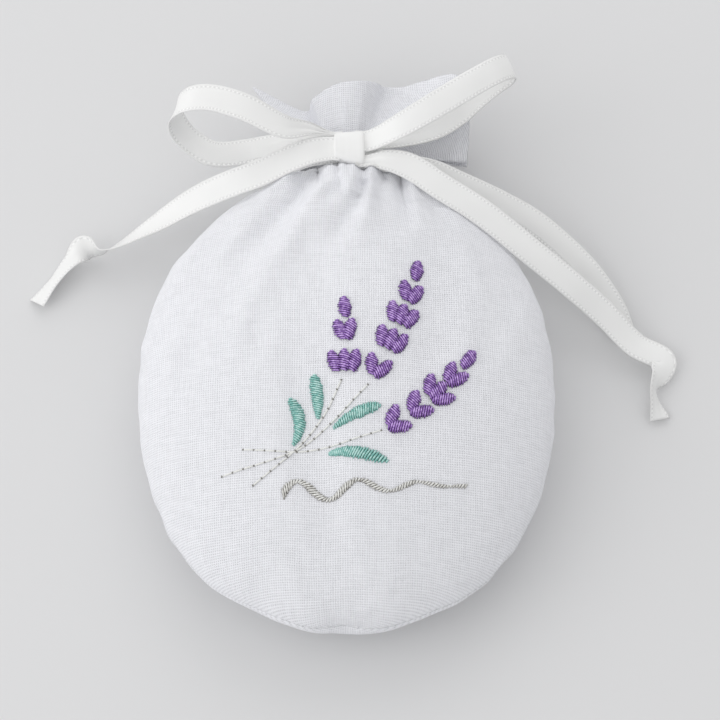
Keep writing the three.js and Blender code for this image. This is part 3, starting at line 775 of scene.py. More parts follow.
@dataclass(frozen=True)
class Fold:
    """A fold of the gathers: its line in plan from the tie outwards, its height and half widths."""

    line: tuple[tuple[float, float], ...]
    height: float
    start_width: float
    end_width: float
    shape: FoldShape = FoldShape.ROUND

    def lift(self, x: np.ndarray, y: np.ndarray) -> np.ndarray:
        """Lift of the cloth: height * exp(-(gap / width)^k), fading along all but a tongue as 1 - s^2.

        Args:
            x: Places across.
            y: Places along.

        Returns:
            The lift at each place, in millimetres.
        """
        points = np.array(self.line)
        lengths = np.linalg.norm(np.diff(points, axis=0), axis=1)
        starts = np.concatenate([[0.0], np.cumsum(lengths)])
        gap = np.full(np.broadcast(x, y).shape, np.inf)
        along = np.zeros_like(gap)
        for i, length in enumerate(lengths):
            ahead = (points[i + 1] - points[i]) / length
            dx, dy = x - points[i][0], y - points[i][1]
            reach = np.clip(dx * ahead[0] + dy * ahead[1], 0.0, length)
            distance = np.hypot(dx - reach * ahead[0], dy - reach * ahead[1])
            along = np.where(distance < gap, (starts[i] + reach) / starts[-1], along)
            gap = np.minimum(gap, distance)
        width = lerp(self.start_width, self.end_width, along)
        fade = 1.0 if self.shape is FoldShape.TONGUE else 1.0 - along**2
        return self.height * fade * np.exp(-((gap / width) ** self.shape.value))


@dataclass
class LinenBag:
    """The bag's two panels, gathered at the neck and spread into a frill."""

    half_width: float = 45.0
    lower: float = 53.5
    shoulder: float = 52.8
    crown: float = 17.0
    bulge: float = 14.0
    seam_height: float = 12.0
    neck_half_width: float = 11.0
    neck_half_depth: float = 5.0
    bottom_power: float = 2.1
    outline_curve: tuple[float, float] = (2.3, 0.62)
    crown_curve: tuple[float, float] = (2.2, 0.8)
    tie_width: float = 6.4
    pleat_depth: float = 1.1
    pleat_count: int = 4
    pleat_reach: float = 24.0
    tie_pleat_depth: float = 0.4
    fine_pleat_depth: float = 0.5
    fine_pleat_reach: float = 7.0
    fine_pleat_waves: tuple = ((17, 22, 29, 36), 5)
    fold_end: tuple[float, float] = (0.3, 2.0)
    fold_side: float = 1.6
    layer_lift: float = 0.35
    layer_ease: float = 3.0
    cloth: float = 0.45
    fill: float = 0.75
    loose_reach: float = 20.0
    pucker_waves: tuple = ((19, 26, 33, 41), 11)
    pucker: float = 0.22
    pucker_reach: float = 4.6
    groove: float = 0.45
    groove_reach: float = 0.75
    bottom_flats: tuple = ((0.0, 0.5, 0.2), (-0.34, 1.4, 0.15), (0.34, 1.2, 0.14))
    flat_reach: float = 4.0
    tuck: float = 1.5
    tuck_spread: float = 0.17
    front_tuck: float = 9.0
    back_tuck: float = 2.6
    columns: int = 150
    lower_rows: int = 60
    shoulder_rows: int = 84
    tie_rows: int = 8
    frill_rows: int = 36
    hem_steps: int = 24
    coarse: int = 3
    settle_frames: int = 20
    pressure: float = 4.0
    stretch: float = 0.04
    hold: float = 4.0
    average_passes: int = 30
    blend_passes: int = 6
    wrinkle: float = 0.7
    seam_reach: float = 0.35
    front_hem: tuple = (
        (0.0, 27.0, -1.2, -0.4), (0.12, 27.5, 11.0, 1.0), (0.22, 25.0, 19.2, 3.4),
        (0.3, 17.0, 19.0, 1.0), (0.34, 12.8, 18.4, -0.4), (0.38, 8.8, 18.4, -0.6),
        (0.41, 6.8, 17.4, 3.0), (0.45, 3.9, 16.2, 6.2), (0.52, -2.0, 15.2, 6.8),
        (0.59, -7.8, 12.9, 3.7), (0.65, -9.2, 12.6, -1.5), (0.8, -21.5, 18.3, -0.5),
        (1.0, -14.0, 12.0, -4.0),
    )
    back_hem: tuple = (
        (0.0, -14.0, 12.0, -5.2), (0.25, -17.0, 16.0, -8.5), (0.5, 2.0, 17.0, -9.0),
        (0.75, 23.0, 15.0, -7.0), (1.0, 27.0, -1.2, -1.6),
    )
    folds: tuple[Fold, ...] = (
        Fold(((0.5, 55.0), (0.5, 46.0), (0.0, 36.0)), 3.0, 9.0, 12.0),
        Fold(((-4.0, 53.2), (-11.0, 52.8)), 1.1, 2.6, 2.0),
        Fold(((5.5, 52.6), (13.0, 52.2)), 1.0, 2.6, 2.0),
        Fold(((-6.5, 55.0), (-6.4, 50.0), (-6.7, 43.5)), -1.9, 0.8, 1.4, FoldShape.CREASE),
        Fold(((-3.9, 55.0), (-4.2, 49.0), (-5.5, 42.0), (-9.5, 34.0)), 1.2, 1.8, 3.2),
        Fold(((0.1, 55.0), (0.4, 50.0), (1.0, 45.2)), 1.5, 2.2, 1.9, FoldShape.TONGUE),
        Fold(((0.1, 55.0), (0.3, 47.5)), -1.0, 1.2, 1.0),
        Fold(((-2.2, 55.0), (-1.8, 48.5), (-1.0, 42.0)), -0.9, 0.6, 0.8, FoldShape.CREASE),
        Fold(((3.8, 55.0), (3.9, 46.0)), -0.9, 0.7, 1.0),
        Fold(((3.6, 47.0), (2.6, 42.0), (-0.8, 36.0), (-4.5, 28.0)), -2.0, 1.4, 3.4),
        Fold(((6.2, 55.0), (5.4, 47.0), (3.6, 38.0), (1.9, 29.0)), 2.0, 1.5, 3.4),
        Fold(((8.2, 55.0), (7.6, 47.0), (6.2, 37.0)), -0.7, 0.8, 2.4),
        Fold(((9.9, 55.0), (9.9, 46.0), (10.2, 36.0)), 1.1, 1.2, 2.8),
        Fold(((11.6, 54.0), (12.4, 45.0), (14.6, 33.0)), -2.0, 0.8, 2.4, FoldShape.CREASE),
        Fold(((13.6, 52.0), (15.4, 43.0), (18.4, 31.0)), 1.6, 1.5, 4.0),
        Fold(((-6.2, 46.0), (-12.2, 33.3), (-22.0, 17.0)), 1.9, 2.0, 6.0),
        Fold(((-9.8, 47.0), (-18.0, 34.5), (-28.0, 19.0)), -1.7, 2.4, 6.0),
        Fold(((-11.5, 53.0), (-13.0, 48.0), (-17.0, 41.0)), 2.4, 2.4, 4.0),
        Fold(((-14.0, 50.0), (-20.0, 44.5), (-29.0, 36.0)), 0.9, 1.6, 4.0),
        Fold(((14.5, 52.5), (16.5, 48.5), (20.0, 43.0)), 1.2, 2.4, 4.0),
        Fold(((18.0, 49.0), (26.0, 41.0), (33.0, 32.0)), 1.0, 1.6, 4.5),
        Fold(((16.5, 47.0), (23.0, 37.5), (29.0, 28.0)), -1.0, 1.6, 4.5),
    )
    grids: dict = field(default_factory=dict)

    def taper(self, y: np.ndarray, full: float, neck: float, power: float, root: float) -> np.ndarray:
        """Half size along the bag: a power curve to nothing below and to the neck above.

        Args:
            y: Places along the bag.
            full: Half size at the widest line.
            neck: Half size at the neck.
            power: Power of the shoulder's curve.
            root: Root of the shoulder's curve.

        Returns:
            The half size at each place.
        """
        below = np.clip(-y / self.lower, 0.0, 1.0)
        above = np.clip(y / self.shoulder, 0.0, 1.0)
        bottom = full * (1.0 - below**self.bottom_power) ** (1.0 / self.bottom_power)
        top = neck + (full - neck) * (1.0 - above**power) ** root
        return np.where(y <= 0.0, bottom, top)

    def width_at(self, y: np.ndarray) -> np.ndarray:
        """Half width of the bag along it."""
        return self.taper(y, self.half_width, self.neck_half_width, *self.outline_curve)

    def depth_at(self, y: np.ndarray, side: Side) -> np.ndarray:
        """Height of a panel's crown above the seam along the bag."""
        full = self.crown if side is Side.FRONT else self.bulge
        return self.taper(y, full, self.neck_half_depth, *self.crown_curve)

    def heights(self) -> np.ndarray:
        """Places of the rows along the bag, from the bottom to the top of the tie.

        Returns:
            The y of each row, closer together towards the bottom and the tie.
        """
        quarter = 0.5 * math.pi
        below = -self.lower * np.cos(quarter * np.arange(self.lower_rows) / self.lower_rows)
        above = self.shoulder * np.sin(quarter * np.arange(self.shoulder_rows + 1) / self.shoulder_rows)
        tie = self.shoulder + self.tie_width * np.arange(1, self.tie_rows + 1) / self.tie_rows
        return np.concatenate([below, above, tie])

    def turns(self, side: Side) -> np.ndarray:
        """Angles of the columns round the section, from +X over the front."""
        start = 0.0 if side is Side.FRONT else math.pi
        return start + math.pi * np.linspace(0.0, 1.0, self.columns + 1)

    def gathers(self, y: np.ndarray, turn: np.ndarray) -> np.ndarray:
        """Depth of the pleats: an even wave that fades down the bag and a finer uneven one.

        Args:
            y: Places along the bag.
            turn: Angles round the section.

        Returns:
            How far the pleats stand out at each place.
        """
        below = np.maximum(self.shoulder - y, 0.0)
        share = np.maximum(0.0, 1.0 - below / self.pleat_reach)
        near = smoothstep(below, 0.0, 0.5 * self.tie_width)
        depth = lerp(self.tie_pleat_depth, self.pleat_depth, near) * share**2
        even = depth * np.cos(2 * self.pleat_count * turn)
        fine = self.fine_pleat_depth * np.exp(-below / self.fine_pleat_reach)
        return even + fine * near * irregular_wave(turn, *self.fine_pleat_waves)

    def panel_body(self, side: Side) -> np.ndarray:
        """A panel from the bottom through the tie: an ellipse section with pleats and puckers.

        x = w cos t and z = seam + (depth + pleats) sin t, drawn in at the seam and rippled beside
        it, with flats and a tuck round the bottom. The front has the folds of the gathers on top.
        The back lies flat where it would reach below the table.

        Args:
            side: The panel.

        Returns:
            Rows x columns of points.
        """
        y = self.heights()[:, None]
        turn = self.turns(side)[None, :]
        sine = np.sin(turn)
        width = self.width_at(y)
        depth = self.depth_at(y, side) + self.gathers(y, turn)
        x = width * np.cos(turn)
        z = self.seam_height + side.value * depth * np.abs(sine)
        around = np.arctan2(y, x)
        loose = smoothstep(self.shoulder - y, 0.0, self.loose_reach)
        off_seam = z - self.seam_height
        beside = bell(off_seam, self.pucker_reach) * loose
        ripple = self.pucker * irregular_wave(around, *self.pucker_waves) * beside
        drawn = self.groove * bell(off_seam, self.groove_reach) * loose
        reach = np.maximum(np.hypot(x, y), SMALL)
        down = around + 0.5 * math.pi
        flat = sum(deep * bell(down - at, wide) for at, deep, wide in self.bottom_flats)
        flat = flat * smoothstep(reach, 0.5 * self.lower, self.lower)
        if side is Side.BACK:
            flat = flat * bell(off_seam, self.flat_reach)
        tuck_reach = self.front_tuck if side is Side.FRONT else self.back_tuck
        tuck = self.tuck * bell(down, self.tuck_spread) * bell(off_seam, tuck_reach)
        inward = (ripple - drawn - flat - tuck) / reach
        points = join(x + x * inward, y + y * inward, z)
        if side is Side.FRONT:
            lift = sum(fold.lift(points[..., 0], points[..., 1]) for fold in self.folds)
            free = 1.0 - smoothstep(y - self.shoulder, *self.fold_end)
            points[..., 2] += lift * free * np.minimum(1.0, self.fold_side * np.abs(sine))
        points[..., 2] = np.maximum(points[..., 2], 0.0)
        return points

    def hem(self, side: Side) -> np.ndarray:
        """Hem of a panel's frill: a smooth curve through its keys.

        Args:
            side: The panel.

        Returns:
            A point of the hem for each column.
        """
        keys = np.array(self.front_hem if side is Side.FRONT else self.back_hem)
        line = catmull_rom(keys, self.hem_steps)
        across = np.linspace(0.0, 1.0, self.columns + 1)
        spread, rise, lift = (np.interp(across, line[:, 0], line[:, i]) for i in (1, 2, 3))
        top = self.shoulder + self.tie_width
        return join(spread, top + rise, self.seam_height + lift)

    def panel_frill(self, side: Side, tie: np.ndarray) -> np.ndarray:
        """A panel's frill: straight threads from the tie to the hem that leave the tie level.

        Args:
            side: The panel.
            tie: Its last row, at the top of the tie.

        Returns:
            Rows of the frill above the tie.
        """
        share = (np.arange(1, self.frill_rows + 1) / self.frill_rows)[:, None]
        hem = self.hem(side)[None]
        points = lerp(tie[None], hem, share[:, :, None])
        points[..., 2] = lerp(tie[None, :, 2], hem[..., 2], smoothstep(share, 0.0, 1.0))
        points[..., 2] += side.value * self.layer_lift * np.minimum(1.0, self.layer_ease * share)
        turn = self.turns(side)[None, :]
        wave = irregular_wave(turn, *self.fine_pleat_waves) * np.abs(np.sin(turn))
        points[..., 2] += self.fine_pleat_depth * wave * 4.0 * share * (1.0 - share) ** 2
        return points

    def shape(self) -> None:
        """Work out both panels, from the bottom seam to the hem."""
        for side in Side:
            body = self.panel_body(side)
            self.grids[side] = np.concatenate([body, self.panel_frill(side, body[-1])])

    def simulate(self, ring: np.ndarray) -> np.ndarray:
        """Swell a coarse closed tube as cloth under pressure, held at the tie and free of gravity.

        Args:
            ring: Rows of rings round the bag, in millimetres.

        Returns:
            How far each point moved, in millimetres.
        """
        blank = np.zeros((1, ring.shape[0], ring.shape[1] + 1, 2))
        scrap = bpy.data.materials.new("settling")
        piece = make_piece("settling_bag", [Patch(ring[None], blank, closed=True, capped=True)], scrap)
        held = piece.vertex_groups.new(name="held")
        rows = ring[..., 1].reshape(-1) > self.shoulder - self.hold
        held.add(np.flatnonzero(rows).tolist(), 1.0, "REPLACE")
        cloth = piece.modifiers.new("settle", "CLOTH")
        cloth.point_cache.frame_end = self.settle_frames
        cloth.collision_settings.use_collision = False
        settings = cloth.settings
        settings.quality = 6
        settings.mass = 0.1
        settings.bending_stiffness = 0.3
        settings.use_pressure = True
        settings.uniform_pressure_force = self.pressure
        settings.shrink_min = -self.stretch
        settings.vertex_group_mass = held.name
        settings.effector_weights.gravity = 0.0
        for frame_number in range(1, self.settle_frames + 1):
            bpy.context.scene.frame_set(frame_number)
        settled = piece.evaluated_get(bpy.context.evaluated_depsgraph_get()).to_mesh()
        points = np.empty(ring.size)
        settled.vertices.foreach_get("co", points)
        bpy.data.meshes.remove(piece.data)
        bpy.data.materials.remove(scrap)
        bpy.context.scene.frame_set(1)
        return points.reshape(ring.shape) / MM - FRAME_SHIFT - ring

    def settle(self) -> None:
        """Let both panels settle on the filling and pucker at the seam, as simulated cloth does.

        The wrinkles are the movement less its average nearby, so the filled size stays. They move
        the cloth up and down, and sideways only beside the seam.
        """
        rows = len(self.heights())
        picked = slice(self.coarse, rows - 1, self.coarse)
        across = slice(0, self.columns, self.coarse)
        ring = np.concatenate([self.grids[side][picked, across] for side in Side], axis=1)
        moved = self.simulate(ring)
        moved = moved - smooth(moved, self.average_passes)
        size = np.maximum(np.linalg.norm(moved, axis=-1, keepdims=True), SMALL)
        LOG.info("wrinkles: mean %.2f mm, largest %.2f mm", size.mean(), size.max())
        moved = moved * (self.wrinkle * np.tanh(size / self.wrinkle) / size)
        fine = np.repeat(np.repeat(moved, self.coarse, axis=0), self.coarse, axis=1)
        fine = smooth(np.roll(fine, -1, axis=1), self.blend_passes)
        fine = wrapped(fine)
        first = self.coarse - 1
        for side, start in ((Side.FRONT, 0), (Side.BACK, self.columns)):
            part = fine[:, start:start + self.columns + 1].copy()
            beside = bell(np.sin(self.turns(side)), self.seam_reach)
            part[..., :2] *= 0.5 * beside[None, :, None]
            self.grids[side][first:first + len(part)] += part
            self.grids[side][..., 2] = np.maximum(self.grids[side][..., 2], 0.0)

    def seam(self, end: float) -> np.ndarray:
        """Line where the panels meet, from one side round the bottom, ending short of the neck.

        Args:
            end: Distance of its ends from the neck.

        Returns:
            Points of the line.
        """
        rows = self.heights() < self.shoulder - end
        front = self.grids[Side.FRONT][:len(rows)][rows]
        return np.concatenate([front[::-1, -1], front[1:, 0]])

    def height(self, x: np.ndarray, y: np.ndarray) -> np.ndarray:
        """Height of the front panel over places in plan, or far below beside the bag.

        Args:
            x: Places across.
            y: Places along.

        Returns:
            The height by bilinear mixing of the panel's grid.
        """
        rows = self.heights()
        row = np.interp(y, rows, np.arange(len(rows)))
        cosine = x / np.maximum(self.width_at(y), SMALL)
        column = np.arccos(np.clip(cosine, -1.0, 1.0)) / math.pi * self.columns
        i = np.minimum(row.astype(int), len(rows) - 2)
        j = np.minimum(column.astype(int), self.columns - 1)
        z = self.grids[Side.FRONT][..., 2]
        near = lerp(z[i, j], z[i, j + 1], column - j)
        far = lerp(z[i + 1, j], z[i + 1, j + 1], column - j)
        inside = (np.abs(cosine) < 1.0) & (y > -self.lower) & (y < self.shoulder)
        return np.where(inside, lerp(near, far, row - i), FAR_BELOW)

    def build(self) -> None:
        """Make the two panels as linen shells that ride on the bag."""
        linen = LINEN.build()
        for side, name in ((Side.FRONT, "front_panel"), (Side.BACK, "back_panel")):
            points = self.grids[side]
            middle = self.columns // 2
            across = arc_lengths(points, 1)
            across = across - across[:, middle:middle + 1]
            along = arc_lengths(points, 0)
            tie = -self.frill_rows - 1
            level = along[:, middle:middle + 1]
            own = level[tie] + along[tie:] - along[tie]
            along = np.concatenate([np.broadcast_to(level[:tie], across[:tie].shape), own])
            uv = join(across, along) * MM
            piece = make_piece(f"linen_{name}", [Patch(points[None], uv[None])], linen, merge=True)
            add_thickness(piece, self.cloth)
            sew_on(piece, name)


# Filling and seam


@dataclass
class Filling:
    """The muslin pouch inside the bag and the dried buds inside that."""

    bag: LinenBag
    pouch_inset: float = 1.3
    room_below: float = 2.6
    pouch_length: float = 49.0
    pouch_mouth: tuple[float, float] = (4.0, 2.5)
    pouch_cloth: float = 0.35
    buds_inset: float = 2.4
    buds_length: float = 45.0
    pouch_fill: float = 0.8
    buds_fill: float = 0.9
    ripple: float = 0.03
    ripple_waves: tuple = ((9, 13, 21), 3)
    columns: int = 96
    rows: int = 72

    def layer(self, inset: float, length: float, mouth: tuple[float, float]) -> np.ndarray:
        """A closed skin inside the bag, an ellipse section drawn in to a mouth.

        Args:
            inset: Depth below the linen.
            length: Distance of the mouth above the widest line.
            mouth: Half width and half depth of the mouth.

        Returns:
            Rows of rings from the bottom to the mouth.
        """
        swing = np.linspace(-0.5 * math.pi, 0.5 * math.pi, self.rows + 1)[:, None]
        lower = self.bag.lower - inset - self.room_below
        y = np.where(swing < 0.0, lower, length) * np.sin(swing)
        scaled = y * np.where(y < 0.0, self.bag.lower / lower, self.bag.shoulder / length)
        turn = full_turn(self.columns)[None]
        shrink = (self.bag.half_width - inset) / self.bag.half_width
        bag = self.bag
        width = bag.taper(scaled, bag.half_width * shrink, mouth[0], *bag.outline_curve)
        front = bag.taper(scaled, bag.crown - inset, mouth[1], *bag.crown_curve)
        back = bag.taper(scaled, bag.bulge - inset, mouth[1], *bag.crown_curve)
        sine = np.sin(turn)
        wave = 1.0 + irregular_wave(turn, *self.ripple_waves)
        ripple = 1.0 - self.ripple * wave * np.cos(swing)
        z = bag.seam_height + np.where(sine > 0.0, front, back) * sine * ripple
        x = width * np.cos(turn) * ripple
        return join(x, y, np.maximum(z, inset))

    def round_uv(self, points: np.ndarray) -> np.ndarray:
        """Distance round and along a closed skin, in metres."""
        ring = wrapped(points)
        return join(arc_lengths(ring, 1), arc_lengths(ring, 0)) * MM

    def build(self) -> None:
        """Make the pouch and the heap of buds, which ride on the bag."""
        pouch = self.layer(self.pouch_inset, self.pouch_length, self.pouch_mouth)
        patch = Patch(pouch[None], self.round_uv(pouch)[None], closed=True)
        piece = make_piece("muslin_pouch", [patch], MUSLIN.build(), merge=True)
        add_thickness(piece, self.pouch_cloth)
        sew_on(piece, "inner_pouch")
        buds = self.layer(self.buds_inset, self.buds_length, (0.0, 0.0))
        patch = Patch(buds[None], self.round_uv(buds)[None], closed=True)
        piece = make_piece("heap_of_buds", [patch], BUDS.build(), merge=True)
        sew_on(piece, "lavender_fill")


# Needlework


@dataclass
class Stitches:
    """Straight stitches on the linen: each a thread that rises over the padding and dips at its ends, which
    are darkened with painted shade.

    Attributes:
        starts: Where each stitch starts in plan.
        ends: Where it ends.
        rise: Height of its middle above the linen.
        tone: Its shade.
        radius: Radius of the thread.
        lift: Height of the whole stitch above the linen.
        stagger: Length of thread from a stitch to the next.
        end_size: Share of the radius left at its ends.
        end_shade: Painted shade at its ends, where it dips into the linen.
        rings: Rings along a stitch.
        sides: Sides of the thread.
    """

    starts: np.ndarray
    ends: np.ndarray
    rise: np.ndarray
    tone: np.ndarray
    radius: float
    lift: float = 0.0
    stagger: float = 7.3
    end_size: float = 0.55
    end_shade: float = 0.75
    rings: int = 9
    sides: int = 6

    def patch(self, bag: LinenBag) -> Patch:
        """Tubes whose line rises as the root of 1 - (2 s - 1)^2 and whose ends dip into the linen."""
        share = np.linspace(0.0, 1.0, self.rings)
        plan = lerp(self.starts[:, None], self.ends[:, None], share[None, :, None])
        over = np.sqrt(np.maximum(0.0, 1.0 - (2.0 * share - 1.0) ** 2))[None]
        ground = bag.height(plan[..., 0], plan[..., 1]) + self.lift - 0.5 * self.radius
        line = np.concatenate([plan, (ground + self.rise[:, None] * over)[..., None]], axis=-1)
        run = unit(self.ends - self.starts)
        aside = join(run[:, 1], -run[:, 0], 0.0)
        radius = self.radius * lerp(self.end_size, 1.0, over)
        along = self.stagger * np.arange(len(line))[:, None] + arc_lengths(line, 1)
        # Painted shade towards the ends of each stitch.
        tone = self.tone[:, None] - self.end_shade * (1.0 - over)
        return tubes(line, aside[:, None], radius, along, tone, self.sides)


@dataclass
class Needlework:
    """Three sprigs of satin-stitched florets with leaves, stems and a waving scroll below."""

    bag: LinenBag
    petal_length: float = 4.8
    petal_width: float = 3.0
    rise: float = 0.75
    thread: float = 0.24
    pitch: float = 0.48
    slant: float = 0.35
    uneven: tuple[float, float] = (0.88, 1.1)
    tones: tuple[float, float] = (0.75, 1.05)
    edge_rise: float = 0.35
    pad_columns: int = 7
    pad_inset: float = 0.92
    pad_depth: float = 1.3
    pad_painted_shade: float = 0.1
    petal_ends: tuple[float, float] = (0.02, 0.98)
    petal_fullness: tuple[float, float] = (0.24, 0.42)
    petal_lift: float = 0.12
    curve_steps: int = 40
    leaf_width: float = 2.9
    leaf_slant: float = 0.35
    leaf_pitch: float = 0.47
    leaf_tip: float = 0.3
    leaf_rise: float = 0.8
    leaf_skew: float = 1.6
    leaf_arch: float = 0.45
    leaf_lean: float = 0.4
    stem_stitch: float = 2.2
    stem_thread: float = 0.19
    stem_hole: float = 0.25
    stem_rise: float = 0.2
    stem_tone: float = 2.3
    stem_lift: float = 0.05
    stem_steps: int = 30
    hole_reach: float = 0.6
    scroll_start: tuple[float, float] = (-13.0, -27.2)
    scroll_length: float = 38.0
    scroll_height: float = 2.6
    scroll_climb: float = 2.6
    scroll_waves: int = 3
    scroll_width: float = 1.9
    scroll_slant: float = 0.9
    scroll_rise: float = 0.6
    scroll_steps: int = 600
    sprigs: tuple = (
        ("left_sprig", ((-0.3, 12.1), (-0.2, 7.8), (-0.5, -0.5)),
         ((1, 0, 0.0), (2, 32, 0.8), (3, 14, 1.6))),
        ("middle_sprig", ((14.6, 21.9), (12.0, 11.0), (5.6, -1.6)),
         ((1, 0, 0.0), (2, 32, 1.1), (3, 15, 1.5), (3, 15, 1.5), (2, 44, 0.9))),
        ("right_sprig", ((24.5, 1.4), (18.6, -6.4), (8.8, -12.9)),
         ((1, 0, 0.0), (2, 38, 0.8), (3, 32, 0.9), (2, 60, 0.5), (2, 60, 0.5))),
    )
    leaves: tuple = (
        ((-10.9, -16.6), (-8.3, -11.8), (-11.6, -6.6)),
        ((-5.9, -10.8), (-5.9, -6.3), (-6.6, -1.2)),
        ((-2.5, -13.1), (1.8, -9.6), (7.1, -8.5)),
        ((-3.4, -18.7), (0.9, -17.6), (8.6, -20.5)),
    )
    crossing: tuple[float, float] = (-10.9, -18.3)
    stems: tuple = (
        ("right_stem", (-21.5, -17.4), ((-2.3, -17.0), (7.4, -13.9))),
        ("middle_stem", (-25.9, -22.7), ((-2.8, -11.8), (4.6, -3.8))),
        ("left_stem", (-19.3, -25.2), ((-4.6, -10.4), (-1.0, -2.6))),
    )
    random: np.random.Generator = field(default_factory=lambda: np.random.default_rng(21))

    def step(self, slant: float, pitch: Optional[float] = None) -> float:
        """Distance along a shape at which stitches of a slant lie one pitch apart."""
        return (pitch or self.pitch) * math.hypot(1.0, slant)

    def worked(self, middle: np.ndarray, ahead: np.ndarray, half: np.ndarray, slant: float,
               rise: float, lift: float = 0.0) -> list[Patch]:
        """A shape in satin stitch: stitches side by side across it, over a low dome of padding in the dark
        colour, painted shade that shows between the stitches.

        Args:
            middle: Middle of each stitch in plan.
            ahead: Direction of the shape there.
            half: Half width of the shape there.
            slant: Distance that a stitch leans ahead per half width.
            rise: Height of the padding at full width.
            lift: Height of the shape above the linen.

        Returns:
            The stitches, with a little unevenness in their ends and shades, and the padding.
        """
        count = len(middle)
        aside = join(-ahead[:, 1], ahead[:, 0])
        reach = half[:, None] * (aside + slant * ahead)
        rises = rise * lerp(self.edge_rise, 1.0, half / half.max())
        uneven = self.random.uniform(*self.uneven, (2, count, 1))
        tone = self.random.uniform(*self.tones, count)
        stitches = Stitches(middle - reach * uneven[0], middle + reach * uneven[1], rises, tone,
                            self.thread, lift)
        over = np.linspace(1.0, -1.0, self.pad_columns)
        plan = middle[:, None] + self.pad_inset * reach[:, None] * over[None, :, None]
        crown = rises[:, None] * np.sqrt(1.0 - over**2)
        z = self.bag.height(plan[..., 0], plan[..., 1]) + lift + crown - self.pad_depth * self.thread
        points = np.concatenate([plan, z[..., None]], axis=-1)
        # The padding takes the dark colour: painted shade between the stitches.
        return [stitches.patch(self.bag), Patch(points[None], plan[None] * MM, self.pad_painted_shade)]

    def petal(self, foot: np.ndarray, turn: float, lift: float) -> list[Patch]:
        """One petal: a rounded shape of stitches along its direction, fuller at its foot.

        Args:
            foot: Where it starts in plan.
            turn: Its direction.
            lift: Its height above the linen.

        Returns:
            Its stitches and its padding.
        """
        count = int(round(self.petal_length / self.step(self.slant))) + 1
        share = np.linspace(*self.petal_ends, count)
        ahead = np.tile([math.cos(turn), math.sin(turn)], (count, 1))
        middle = foot + ahead * (share * self.petal_length)[:, None]
        fullness = np.where(share < 0.5, *self.petal_fullness)
        half = 0.5 * self.petal_width * (1.0 - (2.0 * share - 1.0) ** 2) ** fullness
        return self.worked(middle, ahead, half, self.slant, self.rise, lift)

    def floret(self, name: str, foot: np.ndarray, heading: float, petals: tuple,
               material: bpy.types.Material) -> None:
        """A floret of one to three petals that stand side by side on its foot and fan out.

        Args:
            name: Name of its node.
            foot: Where it starts in plan.
            heading: Its direction.
            petals: Count, splay in degrees and spacing of its petals.
            material: Its thread.
        """
        count, splay, spacing = petals
        aside = np.array([math.sin(heading), -math.cos(heading)])
        patches = []
        order = sorted(range(count), key=lambda i: -abs(i - 0.5 * (count - 1)))
        for layer, i in enumerate(order):
            at = i - 0.5 * (count - 1)
            turn = heading - at * math.radians(splay)
            patches += self.petal(foot + aside * at * spacing, turn, self.petal_lift * layer)
        sew_on(make_piece(f"stitched_{name}", patches, material), name)

    def leaf(self, name: str, midrib: tuple, material: bpy.types.Material) -> None:
        """A leaf of slanting stitches along its midrib, widest past its middle.

        Args:
            name: Name of its node.
            midrib: Foot, bend and tip of its midrib.
            material: Its thread.
        """
        points = np.array(midrib)
        length = arc_lengths(bezier(points, np.linspace(0.0, 1.0, self.curve_steps))[0], 0)[-1]
        share = np.linspace(0.0, 1.0, int(length / self.step(self.leaf_slant, self.leaf_pitch)) + 1)
        middle, ahead = bezier(points, share)
        arch = np.maximum(np.sin(math.pi * share**self.leaf_skew), 0.0) ** self.leaf_arch
        swell = lerp(self.leaf_tip, 1.0, arch)
        half = 0.5 * self.leaf_width * swell / math.hypot(1.0, self.leaf_lean * self.leaf_slant)
        patches = self.worked(middle, ahead, half, self.leaf_slant, self.leaf_rise * self.rise)
        sew_on(make_piece(f"stitched_{name}", patches, material), name)

    def stem(self, name: str, layer: int, points: np.ndarray, material: bpy.types.Material) -> None:
        """A stem of fine stitches from hole to hole along its curve, with a dark dot of painted shade in
        each hole.

        Args:
            name: Name of its node.
            layer: Count of stems below it.
            points: Points that it passes through.
            material: Its thread.
        """
        line = catmull_rom(points, self.stem_steps)
        length = arc_lengths(line, 0)[-1]
        count = int(length / self.stem_stitch)
        spot = at_lengths(line, np.linspace(0.0, length, count + 1))
        lift = self.stem_lift * layer
        rise = np.full(count + 1, self.stem_rise)
        tone = np.full(count, self.stem_tone)
        threads = Stitches(spot[:-1], spot[1:], rise[:-1], tone, self.stem_thread, lift)
        reach = self.hole_reach * self.stem_hole * unit(np.gradient(spot, axis=0))
        # Dark dots of painted shade in the holes.
        dots = Stitches(spot - reach, spot + reach, rise, np.zeros(count + 1), self.stem_hole, lift)
        patches = [threads.patch(self.bag), dots.patch(self.bag)]
        sew_on(make_piece(f"stitched_{name}", patches, material), name)

    def scroll(self, material: bpy.types.Material) -> None:
        """The scroll: a sine wave that dies out to the right, in satin stitch that swells on strokes.

        Args:
            material: Its thread.
        """
        share = np.linspace(0.0, 1.0, self.scroll_steps)
        wave = np.sin(2.0 * math.pi * self.scroll_waves * share)
        x = self.scroll_start[0] + self.scroll_length * share
        y = self.scroll_start[1] + self.scroll_climb * share
        line = join(x, y + self.scroll_height * wave * (1.0 - share))
        along = arc_lengths(line, 0)
        at = np.linspace(0.0, along[-1], int(along[-1] / self.step(self.scroll_slant)) + 1)
        s = np.interp(at, along, share)
        middle = at_lengths(line, at)
        ahead = unit(np.gradient(middle, axis=0))
        stroke = np.abs(np.cos(2.0 * math.pi * self.scroll_waves * s))
        half = 0.5 * self.scroll_width * (0.5 + 0.5 * stroke) * (1.0 - 0.5 * s)
        patches = self.worked(middle, ahead, half, self.scroll_slant, self.scroll_rise * self.rise)
        sew_on(make_piece("stitched_scroll", patches, material), "silver_scroll")

